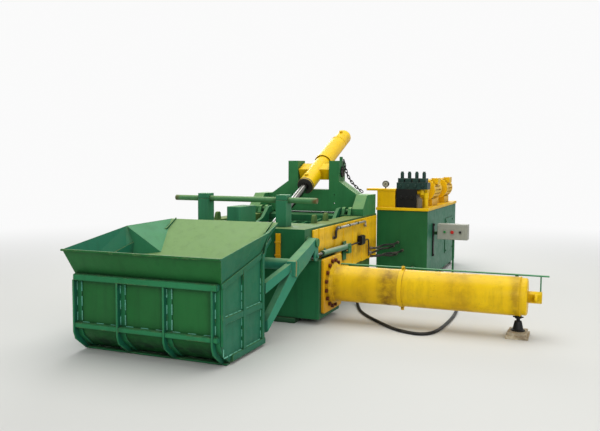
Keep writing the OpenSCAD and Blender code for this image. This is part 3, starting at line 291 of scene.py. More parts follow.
# Feet, skids and the stand under the charging cylinder. Heavy flat bar and
# channel, flame cut and welded, under dirty green paint.
def weathered(name, colour, faded, grime, pale, dust=0.5, streaks=0.3, wear=0.6, rust=0.3,
              rough=0.42, dents=0.25, scratches=0.35, side=None, inside=None, smears_and_shade=()):
    """Steel under machine enamel, or bare: clouded colour, runs of dirt, dust and
    painted light from above on what faces up, grime and painted shade in the
    corners from ambient occlusion, and edges rubbed to primer and rust.
    Colours are screen values. Faces to the left and right may have their own
    tone (side), which paints the bluish window light on them; faces turned to a
    centre point others before and behind a border in Y (inside). A smear is an
    axis, a place on it, its reach, its tint and its share; smears serve as stains
    of oil, soot and rust, and as painted shade at the foot of the bucket."""
    corner_reach, edge_radius, chip_rust, primer = 0.07, 0.007, (98, 58, 32), (96, 70, 48)
    mat, tree, shader, where = nodes_of(name)
    cloud = noise(tree, where, 1.7, 6.0, 0.6)
    mottle = noise(tree, where, 11.0, 8.0, 0.65, shift=(3.1, 1.7, 0.4))
    fine = noise(tree, where, 75.0, 5.0, 0.6)
    runs = noise(tree, where, 9.0, 6.0, 0.6, stretch=(1.6, 1.6, 0.16))
    tone = blended(tree, ramp(tree, cloud, 0.36, 0.66), colour, faded)
    facing = add(tree, "TexCoord").outputs["Normal"]
    axes = add(tree, "SeparateXYZ", Vector=facing)
    tone = blended(tree, ramp(tree, mottle, 0.50, 0.74, 0.0, 0.32), tone, faded)
    if inside:
        centre, near_tone, far_tone, border = inside
        out = add(tree, "VectorMath", {"operation": "SUBTRACT"}, i0=where, i1=centre)
        turn = add(tree, "VectorMath", {"operation": "DOT_PRODUCT"}, i0=out, i1=facing)
        behind = add(tree, "SeparateXYZ", Vector=where).outputs["Y"]
        scour = blended(tree, ramp(tree, behind, border, border + 0.05), near_tone, far_tone)
        scour = blended(tree, ramp(tree, mottle, 0.45, 0.75, 0.0, 0.30), scour, pale)
        tone = blended(tree, ramp(tree, turn.outputs["Value"], 0.02, -0.04), tone, scour)
    # Each smear tints a band along one axis: stains of oil, soot and rust, and the painted shade at the foot
    # of the bucket.
    for axis, place, reach, tint, share in smears_and_shade:
        spot = add(tree, "SeparateXYZ", Vector=where).outputs[axis]
        away = maths(tree, "ABSOLUTE", maths(tree, "SUBTRACT", spot, place))
        close = maths(tree, "MULTIPLY", ramp(tree, away, reach, reach * 0.25, 0.0, share),
                      ramp(tree, mottle, 0.36, 0.58, 0.25, 1.0), True)
        tone = blended(tree, close, tone, tint)
    # Painted light: faces turned to the left and right take the side tone, which paints the bluish window
    # light falling on them.
    if side:
        across = ramp(tree, maths(tree, "ABSOLUTE", axes.outputs["X"]), 0.55, 0.85, 0.0, 0.9)
        tone = blended(tree, across, tone, side)
    tone = blended(tree, ramp(tree, runs, 0.50, 0.74, 0.0, streaks), tone, grime)
    # Dust and painted light from above: faces turned up are mixed toward the pale colour, for the dust on
    # them and for the light falling on tops.
    dusty = maths(tree, "MULTIPLY", ramp(tree, axes.outputs["Z"], 0.25, 0.9, 0.0, dust),
                  ramp(tree, mottle, 0.30, 0.62, 0.45, 1.0), True)
    tone = blended(tree, dusty, tone, pale)
    # Painted shade with grime: ambient occlusion darkens corners, creases and gaps toward the grime colour.
    corner = add(tree, "AmbientOcclusion", {"samples": 4}, Distance=corner_reach)
    corner_shade_and_grime = maths(tree, "MULTIPLY", ramp(tree, corner.outputs["AO"], 0.35, 0.92, 0.85, 0.0),
                   ramp(tree, mottle, 0.25, 0.6, 0.5, 1.0), True)
    tone = blended(tree, corner_shade_and_grime, tone, grime)
    rounded = add(tree, "Bevel", {"samples": 4}, Radius=edge_radius)
    dot = add(tree, "VectorMath", {"operation": "DOT_PRODUCT"}, i0=rounded,
              i1=add(tree, "NewGeometry").outputs["Normal"])
    edge = ramp(tree, dot.outputs["Value"], 0.97, 0.90)
    rubbed = maths(tree, "MULTIPLY", edge, ramp(tree, mottle, 0.50, 0.62, 0.0, wear), True)
    tone = blended(tree, rubbed, tone, blended(tree, ramp(tree, fine, 0.45, 0.6), pale, primer))
    lines = noise(tree, where, 14.0, 2.0, 0.5, stretch=(0.7, 1.1, 7.0), shift=(5.5, 0.6, 9.2))
    lines = ramp(tree, maths(tree, "ABSOLUTE", maths(tree, "SUBTRACT", lines, 0.5)), 0.010, 0.002)
    lines = maths(tree, "MULTIPLY", lines, ramp(tree, mottle, 0.50, 0.60, 0.0, scratches), True)
    tone = blended(tree, lines, tone, grime)
    spots = noise(tree, where, 26.0, 4.0, 0.7, shift=(7.3, 2.2, 5.1))
    chips = maths(tree, "MULTIPLY", ramp(tree, spots, 0.705, 0.725), ramp(tree, cloud, 0.4, 0.6, 0.3, 1.0),
                  True)
    chips = maths(tree, "MULTIPLY", chips, rust, True)
    tone = blended(tree, chips, tone, chip_rust)
    shader.inputs["Specular IOR Level"].default_value = 0.22
    gloss = maths(tree, "ADD", ramp(tree, mottle, 0.3, 0.7, rough - 0.08, rough + 0.12),
                  maths(tree, "MULTIPLY", maths(tree, "ADD", corner_shade_and_grime, dusty), 0.25), True)
    height = maths(tree, "ADD", maths(tree, "MULTIPLY", fine, 0.35), maths(tree, "MULTIPLY", cloud, 3.0))
    surfaced(tree, shader, tone, gloss, height, dents, 0.003)
    return mat


def dressed(node, paint, edge=0.003):
    """The node's own solid with its edges broken, in its real paint."""
    crease, same_point, same_plane = math.radians(34.0), 0.00003, math.radians(0.5)
    mesh = frame["nodes"][node].data.copy()
    mesh.name = node + "_steel"
    bm = bmesh.new()
    bm.from_mesh(mesh)
    bmesh.ops.remove_doubles(bm, verts=bm.verts, dist=same_point)
    bmesh.ops.dissolve_limit(bm, angle_limit=same_plane, verts=bm.verts, edges=bm.edges)
    bm.to_mesh(mesh)
    bm.free()
    mesh.materials.clear()
    mesh.materials.append(paint)
    for poly in mesh.polygons:
        poly.use_smooth = True
        poly.material_index = 0
    mesh.set_sharp_from_angle(angle=crease)
    obj = shown(node + "_steel", mesh)
    if edge:
        cut = obj.modifiers.new("broken_edges", "BEVEL")
        cut.width = edge
        cut.segments = 2
        cut.limit_method = "ANGLE"
        cut.angle_limit = crease
        cut.use_clamp_overlap = True
    even = obj.modifiers.new("flat_faces", "WEIGHTED_NORMAL")
    even.keep_sharp = True
    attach(obj, home[node])
    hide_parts(node)
    return obj


base_green = weathered(
    "base_green", (34, 84, 54), (46, 96, 64), (28, 28, 18), (108, 116, 84), streaks=0.45, rust=0.6,
    rough=0.58)
dressed("feet", base_green)

# Chamber block. Thick slabs welded into the square pressing tunnel, with the
# flange seat on the right, painted green over mill scale.
# The side tone paints the window light on the block's faces to the left and right.
block_green = weathered(
    "block_green", (30, 96, 56), (36, 108, 66), (16, 36, 22), (94, 138, 88), wear=0.5, rough=0.44,
    side=(30, 100, 66))
dressed("chamber_block", block_green, 0.005)

# Header beam. A deep box beam over the chamber; its top plate is paler, for dust and for painted light from
# above, and scuffed by scrap that slides over it.
beam_green = weathered(
    "beam_green", (30, 98, 58), (42, 112, 68), (22, 50, 28), (124, 146, 88), dust=0.9, streaks=0.22,
    rough=0.45)
dressed("front_header", beam_green, 0.006)

# Side walls. Stepped box walls with liner plates; their top flanges carry the lid guide lugs and are pale
# green from dust and painted light from above.
wall_paint = weathered(
    "wall_paint", (58, 106, 56), (80, 110, 48), (46, 46, 22), (122, 136, 74), dust=0.9, streaks=0.4,
    rust=0.5, rough=0.55)
dressed("side_walls", wall_paint, 0.004)

# Ribbed skins. Yellow sheet panels, pressed with flat ribs and plug welded on
# the wall stiffeners, smeared with oil near the lower ledge.
skin_yellow = weathered(
    "skin_yellow", (246, 198, 4), (234, 182, 4), (150, 106, 10), (240, 206, 60), dust=0.2, streaks=0.16,
    wear=0.5, rust=0.6, dents=0.3,
    smears_and_shade=(("Z", 0.55, 0.09, (130, 88, 12), 0.5), ("Z", 0.80, 0.05, (150, 106, 14), 0.3)))
dressed("wall_skins", skin_yellow, 0.004)

# Charging box floor and the ledges beside it. Thick plate laid between the
# walls and welded down, worn bright by scrap and by the charging ram.
bare_steel_worn = weathered(
    "bare_steel_worn", (96, 90, 82), (122, 116, 106), (52, 42, 32), (140, 132, 118), dust=0.4, wear=0.4,
    rust=1.0, rough=0.5)
dressed("box_floor", bare_steel_worn, 0.002)

# Rear frame. Scrap wall, deck and rear plate, welded of thick plate across the
# side walls; they close the charging box and hold the charging cylinder.
dressed("rear_frame", block_green, 0.004)

# Stop frame. Two posts with split caps, the bar clamped between them and the
# block on the header. Solid steel, green enamel, rubbed on the corners.
post_green = weathered(
    "post_green", (44, 118, 80), (56, 130, 92), (26, 58, 42), (122, 160, 110), dust=0.7, streaks=0.25)
dressed("bar_posts", post_green, 0.004)
bar_green = weathered(
    "bar_green", (70, 130, 84), (92, 144, 94), (46, 66, 42), (144, 168, 114), dust=0.7, streaks=0.35,
    wear=0.8, rust=0.7, rough=0.4,
    smears_and_shade=(("X", 0.76, 0.05, (112, 66, 34), 0.9), ("X", -0.76, 0.05, (112, 66, 34), 0.9)))
dressed("cross_bar", bar_green)
dressed("centre_block", post_green, 0.005)

# Conduit strip on the front. Folded yellow cover with spring clips, orange
# with rust where the clips rub.
strip_yellow = weathered(
    "strip_yellow", (232, 180, 10), (212, 150, 10), (120, 70, 14), (220, 184, 66), dust=0.25, streaks=0.45,
    wear=0.8, rust=1.0, rough=0.5)
dressed("front_conduit", strip_yellow)

# Tower. Plate portal with box uprights that carries the lid cylinder, with
# sloped shoulders and gussets welded to the wall tops, closing plates at the
# shoulders, and the brackets of the lid hinge in front.
tower_green = weathered(
    "tower_green", (42, 114, 66), (54, 126, 74), (28, 58, 36), (136, 168, 108), dust=0.85, streaks=0.25,
    rust=0.35, rough=0.45)
dressed("tower", tower_green, 0.005)


def joined(name, pieces, node=None, like=None):
    """Several finished meshes as one piece on the body of a node."""
    bm = bmesh.new()
    mesh = bpy.data.meshes.new(name)
    for obj in pieces:
        first = len(bm.faces)
        bm.from_mesh(obj.data)
        bm.faces.ensure_lookup_table()
        paint = obj.data.materials[0]
        if paint.name not in mesh.materials:
            mesh.materials.append(paint)
        for face in bm.faces[first:]:
            face.material_index = mesh.materials.find(paint.name)
        bpy.data.objects.remove(obj)
    bm.to_mesh(mesh)
    bm.free()
    mesh.set_sharp_from_angle(angle=math.radians(40))
    obj = shown(name, mesh)
    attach(obj, home[like or node])
    if node:
        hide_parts(node)
    return obj


def slab(name, low, high, paint, edge=0.003):
    """Plate or bar with broken edges between two corners in millimetres."""
    bm = bmesh.new()
    size = [(b - a) / 1000 for a, b in zip(low, high)]
    middle = [(a + b) / 2000 for a, b in zip(low, high)]
    bmesh.ops.create_cube(bm, size=1.0, matrix=Matrix.Translation(middle) @ Matrix.Diagonal(size + [1.0]))
    bmesh.ops.bevel(bm, geom=bm.edges[:], offset=min(edge, min(size) * 0.3), segments=2, affect="EDGES")
    return painted(name, bm, paint)


def line_tree(name):
    """A geometry node tree and the node that turns its edges into curves."""
    tree = bpy.data.node_groups.new(name, "GeometryNodeTree")
    for way in ("INPUT", "OUTPUT"):
        tree.interface.new_socket("Geometry", in_out=way, socket_type="NodeSocketGeometry")
    start = add(tree, "NodeGroupInput")
    return tree, add(tree, "GeometryNodeMeshToCurve", i0=start.outputs["Geometry"])


def grown(name, runs, tree, last, paint, node, stands_in=False):
    """Runs a tree on bare edges along lists of points. What its last node
    makes is kept as a plain smooth piece in one paint on the body of a node."""
    real = add(tree, "GeometryNodeRealizeInstances", i0=last)
    smooth = add(tree, "GeometryNodeSetShadeSmooth", i0=real)
    skin = add(tree, "GeometryNodeSetMaterial", Geometry=smooth, Material=paint)
    add(tree, "NodeGroupOutput", i0=skin)
    lines = bpy.data.meshes.new(name + "_lines")
    verts, edges = [], []
    for run in runs:
        edges += [(len(verts) + i, len(verts) + i + 1) for i in range(len(run) - 1)]
        verts += [tuple(p) for p in run]
    lines.from_pydata(verts, edges, [])
    seed = shown(name + "_start", lines)
    seed.modifiers.new("growth", "NODES").node_group = tree
    seed.update_tag()
    bpy.context.view_layer.update()
    mesh = bpy.data.meshes.new_from_object(seed.evaluated_get(bpy.context.evaluated_depsgraph_get()))
    mesh.name = name
    bpy.data.objects.remove(seed)
    obj = shown(name, mesh)
    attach(obj, home[node])
    if stands_in:
        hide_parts(node)


def welded(name, runs, paint, pitch, width, node):
    """Rippled weld bead laid along edges: one flattened drop for each ripple."""
    tree, line = line_tree("weld_bead")
    steps = add(tree, "GeometryNodeCurveToPoints", {"mode": "LENGTH"}, i0=line, Length=pitch)
    drop = add(tree, "GeometryNodeMeshUVSphere", Segments=7, Rings=4, Radius=width / 2)
    uneven = add(tree, "FunctionNodeRandomValue", {"data_type": "FLOAT_VECTOR"}, Min=(0.82, 0.82, 0.6),
                 Max=(1.12, 1.12, 0.85), Seed=5)
    put = add(tree, "GeometryNodeInstanceOnPoints", Points=steps.outputs["Points"],
              Rotation=steps.outputs["Rotation"], Scale=uneven.outputs["Value"], Instance=drop)
    grown(name, runs, tree, put, paint, node)


closing = [slab("plate", (x, 1676, 914), (x + 137, 1682, 967), tower_green, 0.001) for x in (598, -735)]
joined("shoulder_plates", closing, like="tower")
upright_face, bead_top, cap_bead = 1.9745, 1.118, 1.1215
tower_beads = []
for hand in (-1, 1):
    for x in (0.5985, 0.6315, 0.7035):
        tower_beads.append([(hand * x, upright_face, 0.925), (hand * x, upright_face, bead_top)])
    tower_beads.append([(hand * 0.602, upright_face, cap_bead), (hand * 0.733, upright_face, cap_bead)])
welded("tower_welds", tower_beads, tower_green, 0.006, 0.013, "tower")
dressed("hinge_brackets", tower_green)

# Trunnion caps. Two turned discs that close the bearings of the lid cylinder
# on the tower, held by socket screws, in black oxide.
black_paint = weathered(
    "black_paint", (15, 15, 15), (24, 24, 23), (9, 8, 7), (62, 60, 54), dust=0.25, streaks=0.2, rust=0.4,
    rough=0.45)
dressed("trunnion_caps", black_paint, 0.002)


# Lifting chain. Twelve forged links, each turned a quarter against the next,
# hooked to the lug on the tower and lying on the shoulder.
def chained(name, run, wire_radius, half_length, half_width, paint, node):
    """Oval links along a run, each turned a quarter against the one before."""
    tree, line = line_tree("chain_links")
    even = add(tree, "GeometryNodeCurveToPoints", {"mode": "EVALUATED"}, i0=line)
    ring = add(tree, "GeometryNodeCurvePrimitiveCircle", Resolution=20, Radius=1.0)
    place = add(tree, "SeparateXYZ", i0=add(tree, "GeometryNodeInputPosition"))
    wide = maths(tree, "MULTIPLY", place.outputs["X"], half_width)
    tall = maths(tree, "MULTIPLY", place.outputs["Y"], half_width)
    push = add(tree, "Math", {"operation": "MULTIPLY_ADD"},
               i0=maths(tree, "SIGN", place.outputs["Y"]), i1=half_length - half_width, i2=tall)
    oval = add(tree, "CombineXYZ", X=wide, Z=push.outputs[0])
    shape = add(tree, "GeometryNodeSetPosition", Geometry=ring, Position=oval)
    wire = add(tree, "GeometryNodeCurvePrimitiveCircle", Resolution=10, Radius=wire_radius)
    body = add(tree, "GeometryNodeCurveToMesh", Curve=shape, Profile_Curve=wire)
    odd = maths(tree, "MODULO", add(tree, "GeometryNodeInputIndex"), 2.0)
    spin = add(tree, "CombineXYZ", Z=maths(tree, "MULTIPLY", odd, math.pi / 2))
    quarter = add(tree, "FunctionNodeEulerToRotation", i0=spin)
    local = add(tree, "FunctionNodeRotateRotation", {"rotation_space": "LOCAL"}, i0=even.outputs["Rotation"],
                i1=quarter)
    put = add(tree, "GeometryNodeInstanceOnPoints", Points=even.outputs["Points"], Instance=body,
              Rotation=local)
    grown(name, [run], tree, put, paint, node, True)


chain_top, chain_end, chain_count = Vector((0.354, 2.100, 1.576)), Vector((0.600, 2.100, 1.180)), 12
chain_sag = Vector((-0.0486, 0, -0.034))
chain_joints = [chain_top.lerp(chain_end, i / chain_count) + math.sin(math.pi * i / chain_count) * chain_sag
                for i in range(chain_count + 1)]
chained("lifting_chain", [(a + b) / 2 for a, b in zip(chain_joints, chain_joints[1:])],
        0.0055, 0.0262, 0.0125, black_paint, "chain")

# Flange of the main cylinder and its socket head bolts, yellow paint soaked
# with oil; the bolt heads show rust red.
flange_yellow = weathered(
    "flange_yellow", (236, 186, 8), (216, 158, 8), (120, 68, 12), (228, 190, 56), dust=0.2, streaks=0.4,
    wear=0.8, rust=1.0)
dressed("flange_plate", flange_yellow, 0.004)
bolt_rust = weathered(
    "bolt_rust", (118, 56, 26), (92, 44, 22), (36, 18, 10), (158, 108, 40), dust=0.2, wear=0.5, rust=1.0,
    rough=0.6)
dressed("flange_bolts", bolt_rust, 0.0015)

# Main cylinder. Honed tube with a weld neck, end cap and neck, in bright
# yellow enamel with smears of oil and soot round the middle.
cylinder_yellow = weathered(
    "cylinder_yellow", (244, 204, 6), (232, 186, 6), (140, 94, 8), (244, 216, 68), dust=0.15, streaks=0.2,
    wear=0.4, rust=0.35, rough=0.36, dents=0.15)
barrel_yellow = weathered(
    "barrel_yellow", (244, 204, 6), (230, 184, 6), (136, 92, 10), (244, 214, 60), dust=0.12, streaks=0.28,
    wear=0.4, rust=0.45, rough=0.34, dents=0.12, scratches=0.75,
    smears_and_shade=(("X", 1.43, 0.12, (112, 72, 12), 0.8), ("X", 0.90, 0.10, (128, 80, 12), 0.6),
            ("X", 1.20, 0.08, (140, 92, 12), 0.35), ("X", 2.10, 0.16, (156, 108, 12), 0.4),
            ("X", 2.56, 0.06, (120, 78, 12), 0.5)))
flange_face, axis_y, axis_z = 0.850, 0.310, 0.360
neck_start = 2.6605
turned = [(0, 197), (1, 198.5), (21, 198.5), (23, 197.5), (30, 190), (40, 180.5), (50, 172.8), (52, 172.5),
          (500, 172.5), (900, 172.5), (1300, 172.5), (1748, 172.5), (1751, 171.5), (1761, 165), (1763, 164.5),
          (1796, 164.5), (1799, 163.5), (1804, 160), (1808, 156), (1810, 152.5)]
tube = swept("tube", [(flange_face + step / 1000, axis_y, axis_z) for step, r in turned],
             [r / 1000 for step, r in turned], 96, barrel_yellow)
neck = bpy.data.objects.new("neck", frame["nodes"]["main_barrel"].data.copy())
neck_bm = bmesh.new()
neck_bm.from_mesh(neck.data)
bmesh.ops.delete(neck_bm, geom=[f for f in neck_bm.faces if f.calc_center_median().x < neck_start],
                 context="FACES")
bmesh.ops.remove_doubles(neck_bm, verts=neck_bm.verts, dist=0.00003)
neck_bm.to_mesh(neck.data)
neck_bm.free()
neck.data.materials.clear()
neck.data.materials.append(barrel_yellow)
for poly in neck.data.polygons:
    poly.use_smooth = True
joined("main_cylinder", [tube, neck], "main_barrel")


def ring_run(x, radius, count=96):
    """Closed run of points round the axis of the main cylinder."""
    along = Vector((1, 0, 0))
    u = along.orthogonal().normalized()
    v = along.cross(u)
    centre = Vector((x, axis_y, axis_z))
    angles = [2 * math.pi * k / count for k in range(count + 1)]
    return [centre + radius * (math.cos(a) * u + math.sin(a) * v) for a in angles]


welded("barrel_welds", [ring_run(0.8525, 0.1990), ring_run(0.8995, 0.1728), ring_run(2.6010, 0.1712)],
       cylinder_yellow, 0.0055, 0.011, "main_barrel")
dressed("band_clamp", cylinder_yellow, 0.002)
rail_green = weathered("rail_green", (40, 126, 84), (54, 140, 96), (34, 62, 42), (132, 174, 122))
dressed("cylinder_rail", rail_green, 0.002)

# Screw jack and timber. A black cast jack with a turned screw holds up the
# cylinder end; it stands on two layers of pale sawn timber, laid loose.
dressed("screw_jack", black_paint, 0.002)
dressed("jack_screw", black_paint, 0.0015)


def sawn_timber(name, pale, dark):
    """Dry wood with its grain along Y, stained in patches."""
    mat, tree, shader, where = nodes_of(name)
    placed = add(tree, "Mapping", Vector=where, Scale=(38.0, 2.2, 60.0))
    grain = add(tree, "TexNoise", Vector=placed, Scale=1.0, Detail=6.0, Distortion=0.6).outputs[0]
    stain = noise(tree, where, 9.0, 5.0)
    tone = blended(tree, ramp(tree, grain, 0.38, 0.66), pale, dark)
    tone = blended(tree, ramp(tree, stain, 0.5, 0.7, 0.0, 0.6), tone, (92, 76, 56))
    surfaced(tree, shader, tone, 0.85, grain, 0.5, 0.002)
    return mat


timber = sawn_timber("sawn_timber", (206, 194, 168), (164, 144, 112))
dressed("wood_blocks", timber, 0.002)

# Charging cylinder, bale door with its guides, and the hidden ram and platen.
# Welded plate under green enamel; the ram and the platen run bare and oily
# inside the box and the tunnel.
dressed("ram_barrel", tower_green)
dressed("door_guides", block_green)
dressed("door", block_green)
dressed("main_ram", bare_steel_worn)
dressed("charge_ram", bare_steel_worn, 0.004)


# Junction box, bare pipe and hoses on the right wall, and the hoses to the
# power pack. Folded black box with screws; drawn steel pipe and black rubber
# hose, held by hexagon nuts and green clips.
def bare_metal(name, colour, dark, rough, dents=0.1):
    """Bare steel, clouded and slightly uneven."""
    mat, tree, shader, where = nodes_of(name)
    cloud = noise(tree, where, 6.0, 6.0)
    shader.inputs["Metallic"].default_value = 1.0
    surfaced(tree, shader, blended(tree, ramp(tree, cloud, 0.5, 0.72), colour, dark),
             ramp(tree, cloud, 0.3, 0.7, rough, rough + 0.14), noise(tree, where, 120.0, 4.0), dents, 0.001)
    return mat


def bent(points, radius, steps=6):
    """Route given in millimetres, in metres and with its corners bent round."""
    points = [Vector(p) / 1000 for p in points]
    out = [points[0]]
    for a, b, c in zip(points, points[1:], points[2:]):
        reach = min(radius, 0.46 * (a - b).length, 0.46 * (c - b).length)
        start, end = b + (a - b).normalized() * reach, b + (c - b).normalized() * reach
        out += [start.lerp(b, i / steps).lerp(b.lerp(end, i / steps), i / steps) for i in range(steps + 1)]
    return out + [points[-1]]


def nut(a, b, radius, length=None):
    """Hexagon from a to b, or of a length toward b, in millimetres."""
    a, b = Vector(a), Vector(b)
    if length:
        b = a + (b - a).normalized() * length
    return swept("nut", [a / 1000, b / 1000], radius, 6, crimped)


pipe_steel = bare_metal("pipe_steel", (186, 185, 178), (150, 142, 128), 0.34)
pipe_radius, hose_radius, cable_radius, nut_radius = 0.011, 0.0125, 0.0080, 0.0185
bare_run = [(777, 1640, 800), (777, 1640, 863), (777, 640, 863)]
hose_run = [(777, 642, 863), (777, 600, 840), (777, 600, 768), (744, 600, 768)]
pipe_pieces = [swept("bare_run", bent(bare_run, 0.05), pipe_radius, 20, pipe_steel),
               swept("hose_run", bent(hose_run, 0.04), hose_radius, 18, black_rubber)]
for a, b, r in (((777, 668, 863), (777, 640, 863), 0.0150), ((744, 600, 768), (757, 600, 768), 0.0180),
                ((777, 1640, 800), (777, 1640, 822), 0.0155), ((658, 1200, 230), (672, 1200, 230), 0.0240),
                ((672, 1200, 230), (690, 1200, 230), 0.0180)):
    pipe_pieces.append(nut(a, b, r))
for y in (700, 1020, 1320):
    pipe_pieces.append(slab("clip", (755, y, 849), (791, y + 26, 877), base_green))
joined("wall_pipe_run", pipe_pieces, "wall_pipe")
feed_pieces = []
for run in ([(860, 2650, 470), (860, 2420, 470), (800, 2330, 470), (800, 1880, 470), (761.4, 1860, 470)],
            [(920, 2650, 520), (920, 2400, 520), (830, 2290, 520), (830, 1940, 520), (761.6, 1900, 520)],
            [(980, 2650, 420), (980, 2380, 420), (860, 2240, 420), (860, 2010, 420), (800, 1940, 420),
             (755, 1940, 420)],
            [(900, 2650, 370), (900, 2450, 370), (620, 2400, 370), (620, 2250, 370)]):
    feed_pieces += [swept("feed", bent(run, 0.07), hose_radius, 18, black_rubber),
                    nut(run[0], run[1], nut_radius, 34), nut(run[-1], run[-2], nut_radius, 28)]
for run in ([(773, 1800, 440), (773, 1800, 640), (773, 1560, 640)],
            [(773, 1430, 640), (773, 1030, 640), (773, 1030, 600), (755, 1030, 600)]):
    feed_pieces.append(swept("feed", bent(run, 0.05), cable_radius, 16, black_rubber))
joined("feed_hoses", feed_pieces, "feed_pipes")
joined("wall_box", [slab("case", (755, 1420, 604), (797, 1570, 712), black_paint, 0.006),
                    slab("cover", (797, 1427, 610), (803, 1563, 706), black_paint, 0.002)]
       + [nut((803, y, z), (806, y, z), 0.005) for y in (1438, 1552) for z in (621, 695)], "junction_box")

# Bucket. Folded plate shell with ribs, feet and rails outside and a flared
# rim, stitch welded, in green enamel that scrap has scoured pale on the
# chute. Two welded arms with lever ends carry it.
# Painted light on the bucket paint: the dark smear near the floor is painted shade on the bottom of the
# shell, and the side tone paints the bluish window light on the side faces.
bucket_green = weathered(
    "bucket_green", (28, 100, 44), (36, 112, 54), (16, 50, 28), (134, 166, 106), streaks=0.22, rust=0.2,
    rough=0.44, side=(30, 110, 84), inside=((0.0, -1.2, 1.2), (58, 122, 80), (122, 156, 98), -0.93),
    smears_and_shade=(("Z", 0.05, 0.16, (12, 38, 24), 0.9),))
cheek_green = weathered(
    "cheek_green", (52, 128, 88), (64, 140, 98), (24, 64, 42), (120, 160, 108), dust=0.3, streaks=0.2,
    wear=0.5, rust=0.2, rough=0.44)
chute_start, chute_half, chute_inset = -0.545, 0.5, 0.090
shell = dressed("bucket_shell", bucket_green, 0.002)
for vertex in shell.data.vertices:
    if vertex.co.y > chute_start and abs(vertex.co.x) > chute_half:
        vertex.co.x -= math.copysign(chute_inset, vertex.co.x)
# The side tone paints the bluish window light on the ribs' faces to the left and right.
rib_green = weathered(
    "rib_green", (36, 122, 74), (46, 134, 86), (14, 46, 30), (120, 162, 104), streaks=0.2, rust=0.2,
    side=(28, 104, 80))


def prism(low, high):
    """A build of two matching rings of points with faces all round."""
    bm = bmesh.new()
    low, high = ([bm.verts.new(p) for p in ring] for ring in (low, high))
    bm.faces.new(list(reversed(low)))
    bm.faces.new(high)
    for k in range(len(low)):
        j = (k + 1) % len(low)
        bm.faces.new((low[k], low[j], high[j], high[k]))
    bmesh.ops.recalc_face_normals(bm, faces=bm.faces)
    return bm


def cut_plate(name, outline, low, high, paint, edge=0.0025):
    """Plate of a side outline (Y, Z) from x low to x high, in millimetres."""
    bm = prism(*([(x / 1000, y / 1000, z / 1000) for y, z in outline] for x in (low, high)))
    sharp = [e for e in bm.edges if e.calc_face_angle(0) > 0.6]
    bmesh.ops.bevel(bm, geom=sharp, offset=edge, segments=1, affect="EDGES", clamp_overlap=True)
    return painted(name, bm, paint)


def bar_between(a, b, width):
    """Side outline of a flat bar along a line."""
    a, b = Vector(a), Vector(b)
    along = (b - a).normalized() * width / 2
    off = Vector((-along.y, along.x))
    return [a + off, b + off, b - off, a - off]


bend = [(-1210, 20), (-1430, 20), (-1470, 36), (-1580, 140), (-1600, 190)]
web = [(-1600, 590), (-1650, 590), (-1650, 170), (-1628, 110), (-1500, 6), (-1450, 2), (-1250, 2)] + bend
foot = [(-1600, 590), (-1608, 590), (-1608, 188), (-1587, 134), (-1474, 28), (-1432, 12), (-1218, 12)] + bend
rib_centres = (-624, -210, 210, 624)
ribs = []
for x in rib_centres:
    ribs.append(cut_plate("web", web, x - 30, x - 14, rib_green))
    ribs.append(cut_plate("foot", foot, x - 14, min(x + 30, 648), rib_green, 0.001))
for low, high, edge in (((-646, -1650, 587), (646, -1600, 637), 0.005),
                        ((-646, -1642, 205), (646, -1600, 245), 0.005),
                        ((-646, -1498, 5), (646, -1440, 17), 0.002)):
    ribs.append(slab("rail", low, high, rib_green, edge))
for hand in (-1, 1):
    for low, high in (((650, -1598, 330), (668, -880, 380)), ((650, -1440, 24), (669, -860, 74)),
                      ((650, -1600, 170), (670, -1560, 600)), ((650, -1265, 74), (670, -1215, 700)),
                      ((650, -925, 74), (670, -882, 780))):
        xs = sorted((hand * low[0], hand * high[0]))
        ribs.append(slab("rib", (xs[0],) + low[1:], (xs[1],) + high[1:], rib_green))
    xs = sorted((hand * 651, hand * 667))
    for a, b, width in (((-1599, 612), (-948, 760), 46), ((-958, 757), (-600, 868), 40)):
        ribs.append(cut_plate("strut", bar_between(a, b, width), xs[0], xs[1], rib_green))
chute_rib = [(-871.8, 500), (-862, 500), (-430, 920), (-420, 946.2), (-880, 679.8)]
for x in (-440, -220, 0, 220, 440):
    ribs.append(cut_plate("rib", chute_rib, x - 8, x + 8, rib_green))
ribs.append(slab("rail", (-650, -873, 610), (650, -838, 667), rib_green, 0.004))
for x in (-400, 400):
    ribs.append(slab("skid", (x - 50, -1380, 4), (x + 50, -900, 20), rib_green))
strut_inset = 0.066
for piece in ribs:
    for vertex in piece.data.vertices:
        if vertex.co.y > -0.66 and 0.648 < abs(vertex.co.x) < 0.68 and vertex.co.z > 0.80:
            vertex.co.x -= math.copysign(strut_inset, vertex.co.x)
joined("bucket_frame", ribs, "bucket_ribs")


def folded_plate(name, corners, thickness, paint):
    """Flat plate between three or four corners in metres, thick to both sides."""
    points = [Vector(c) for c in corners]
    normal = (points[1] - points[0]).cross(points[2] - points[0]).normalized() * thickness / 2
    bm = prism([p - normal for p in points], [p + normal for p in points])
    bmesh.ops.triangulate(bm, faces=bm.faces)
    return painted(name, bm, paint)


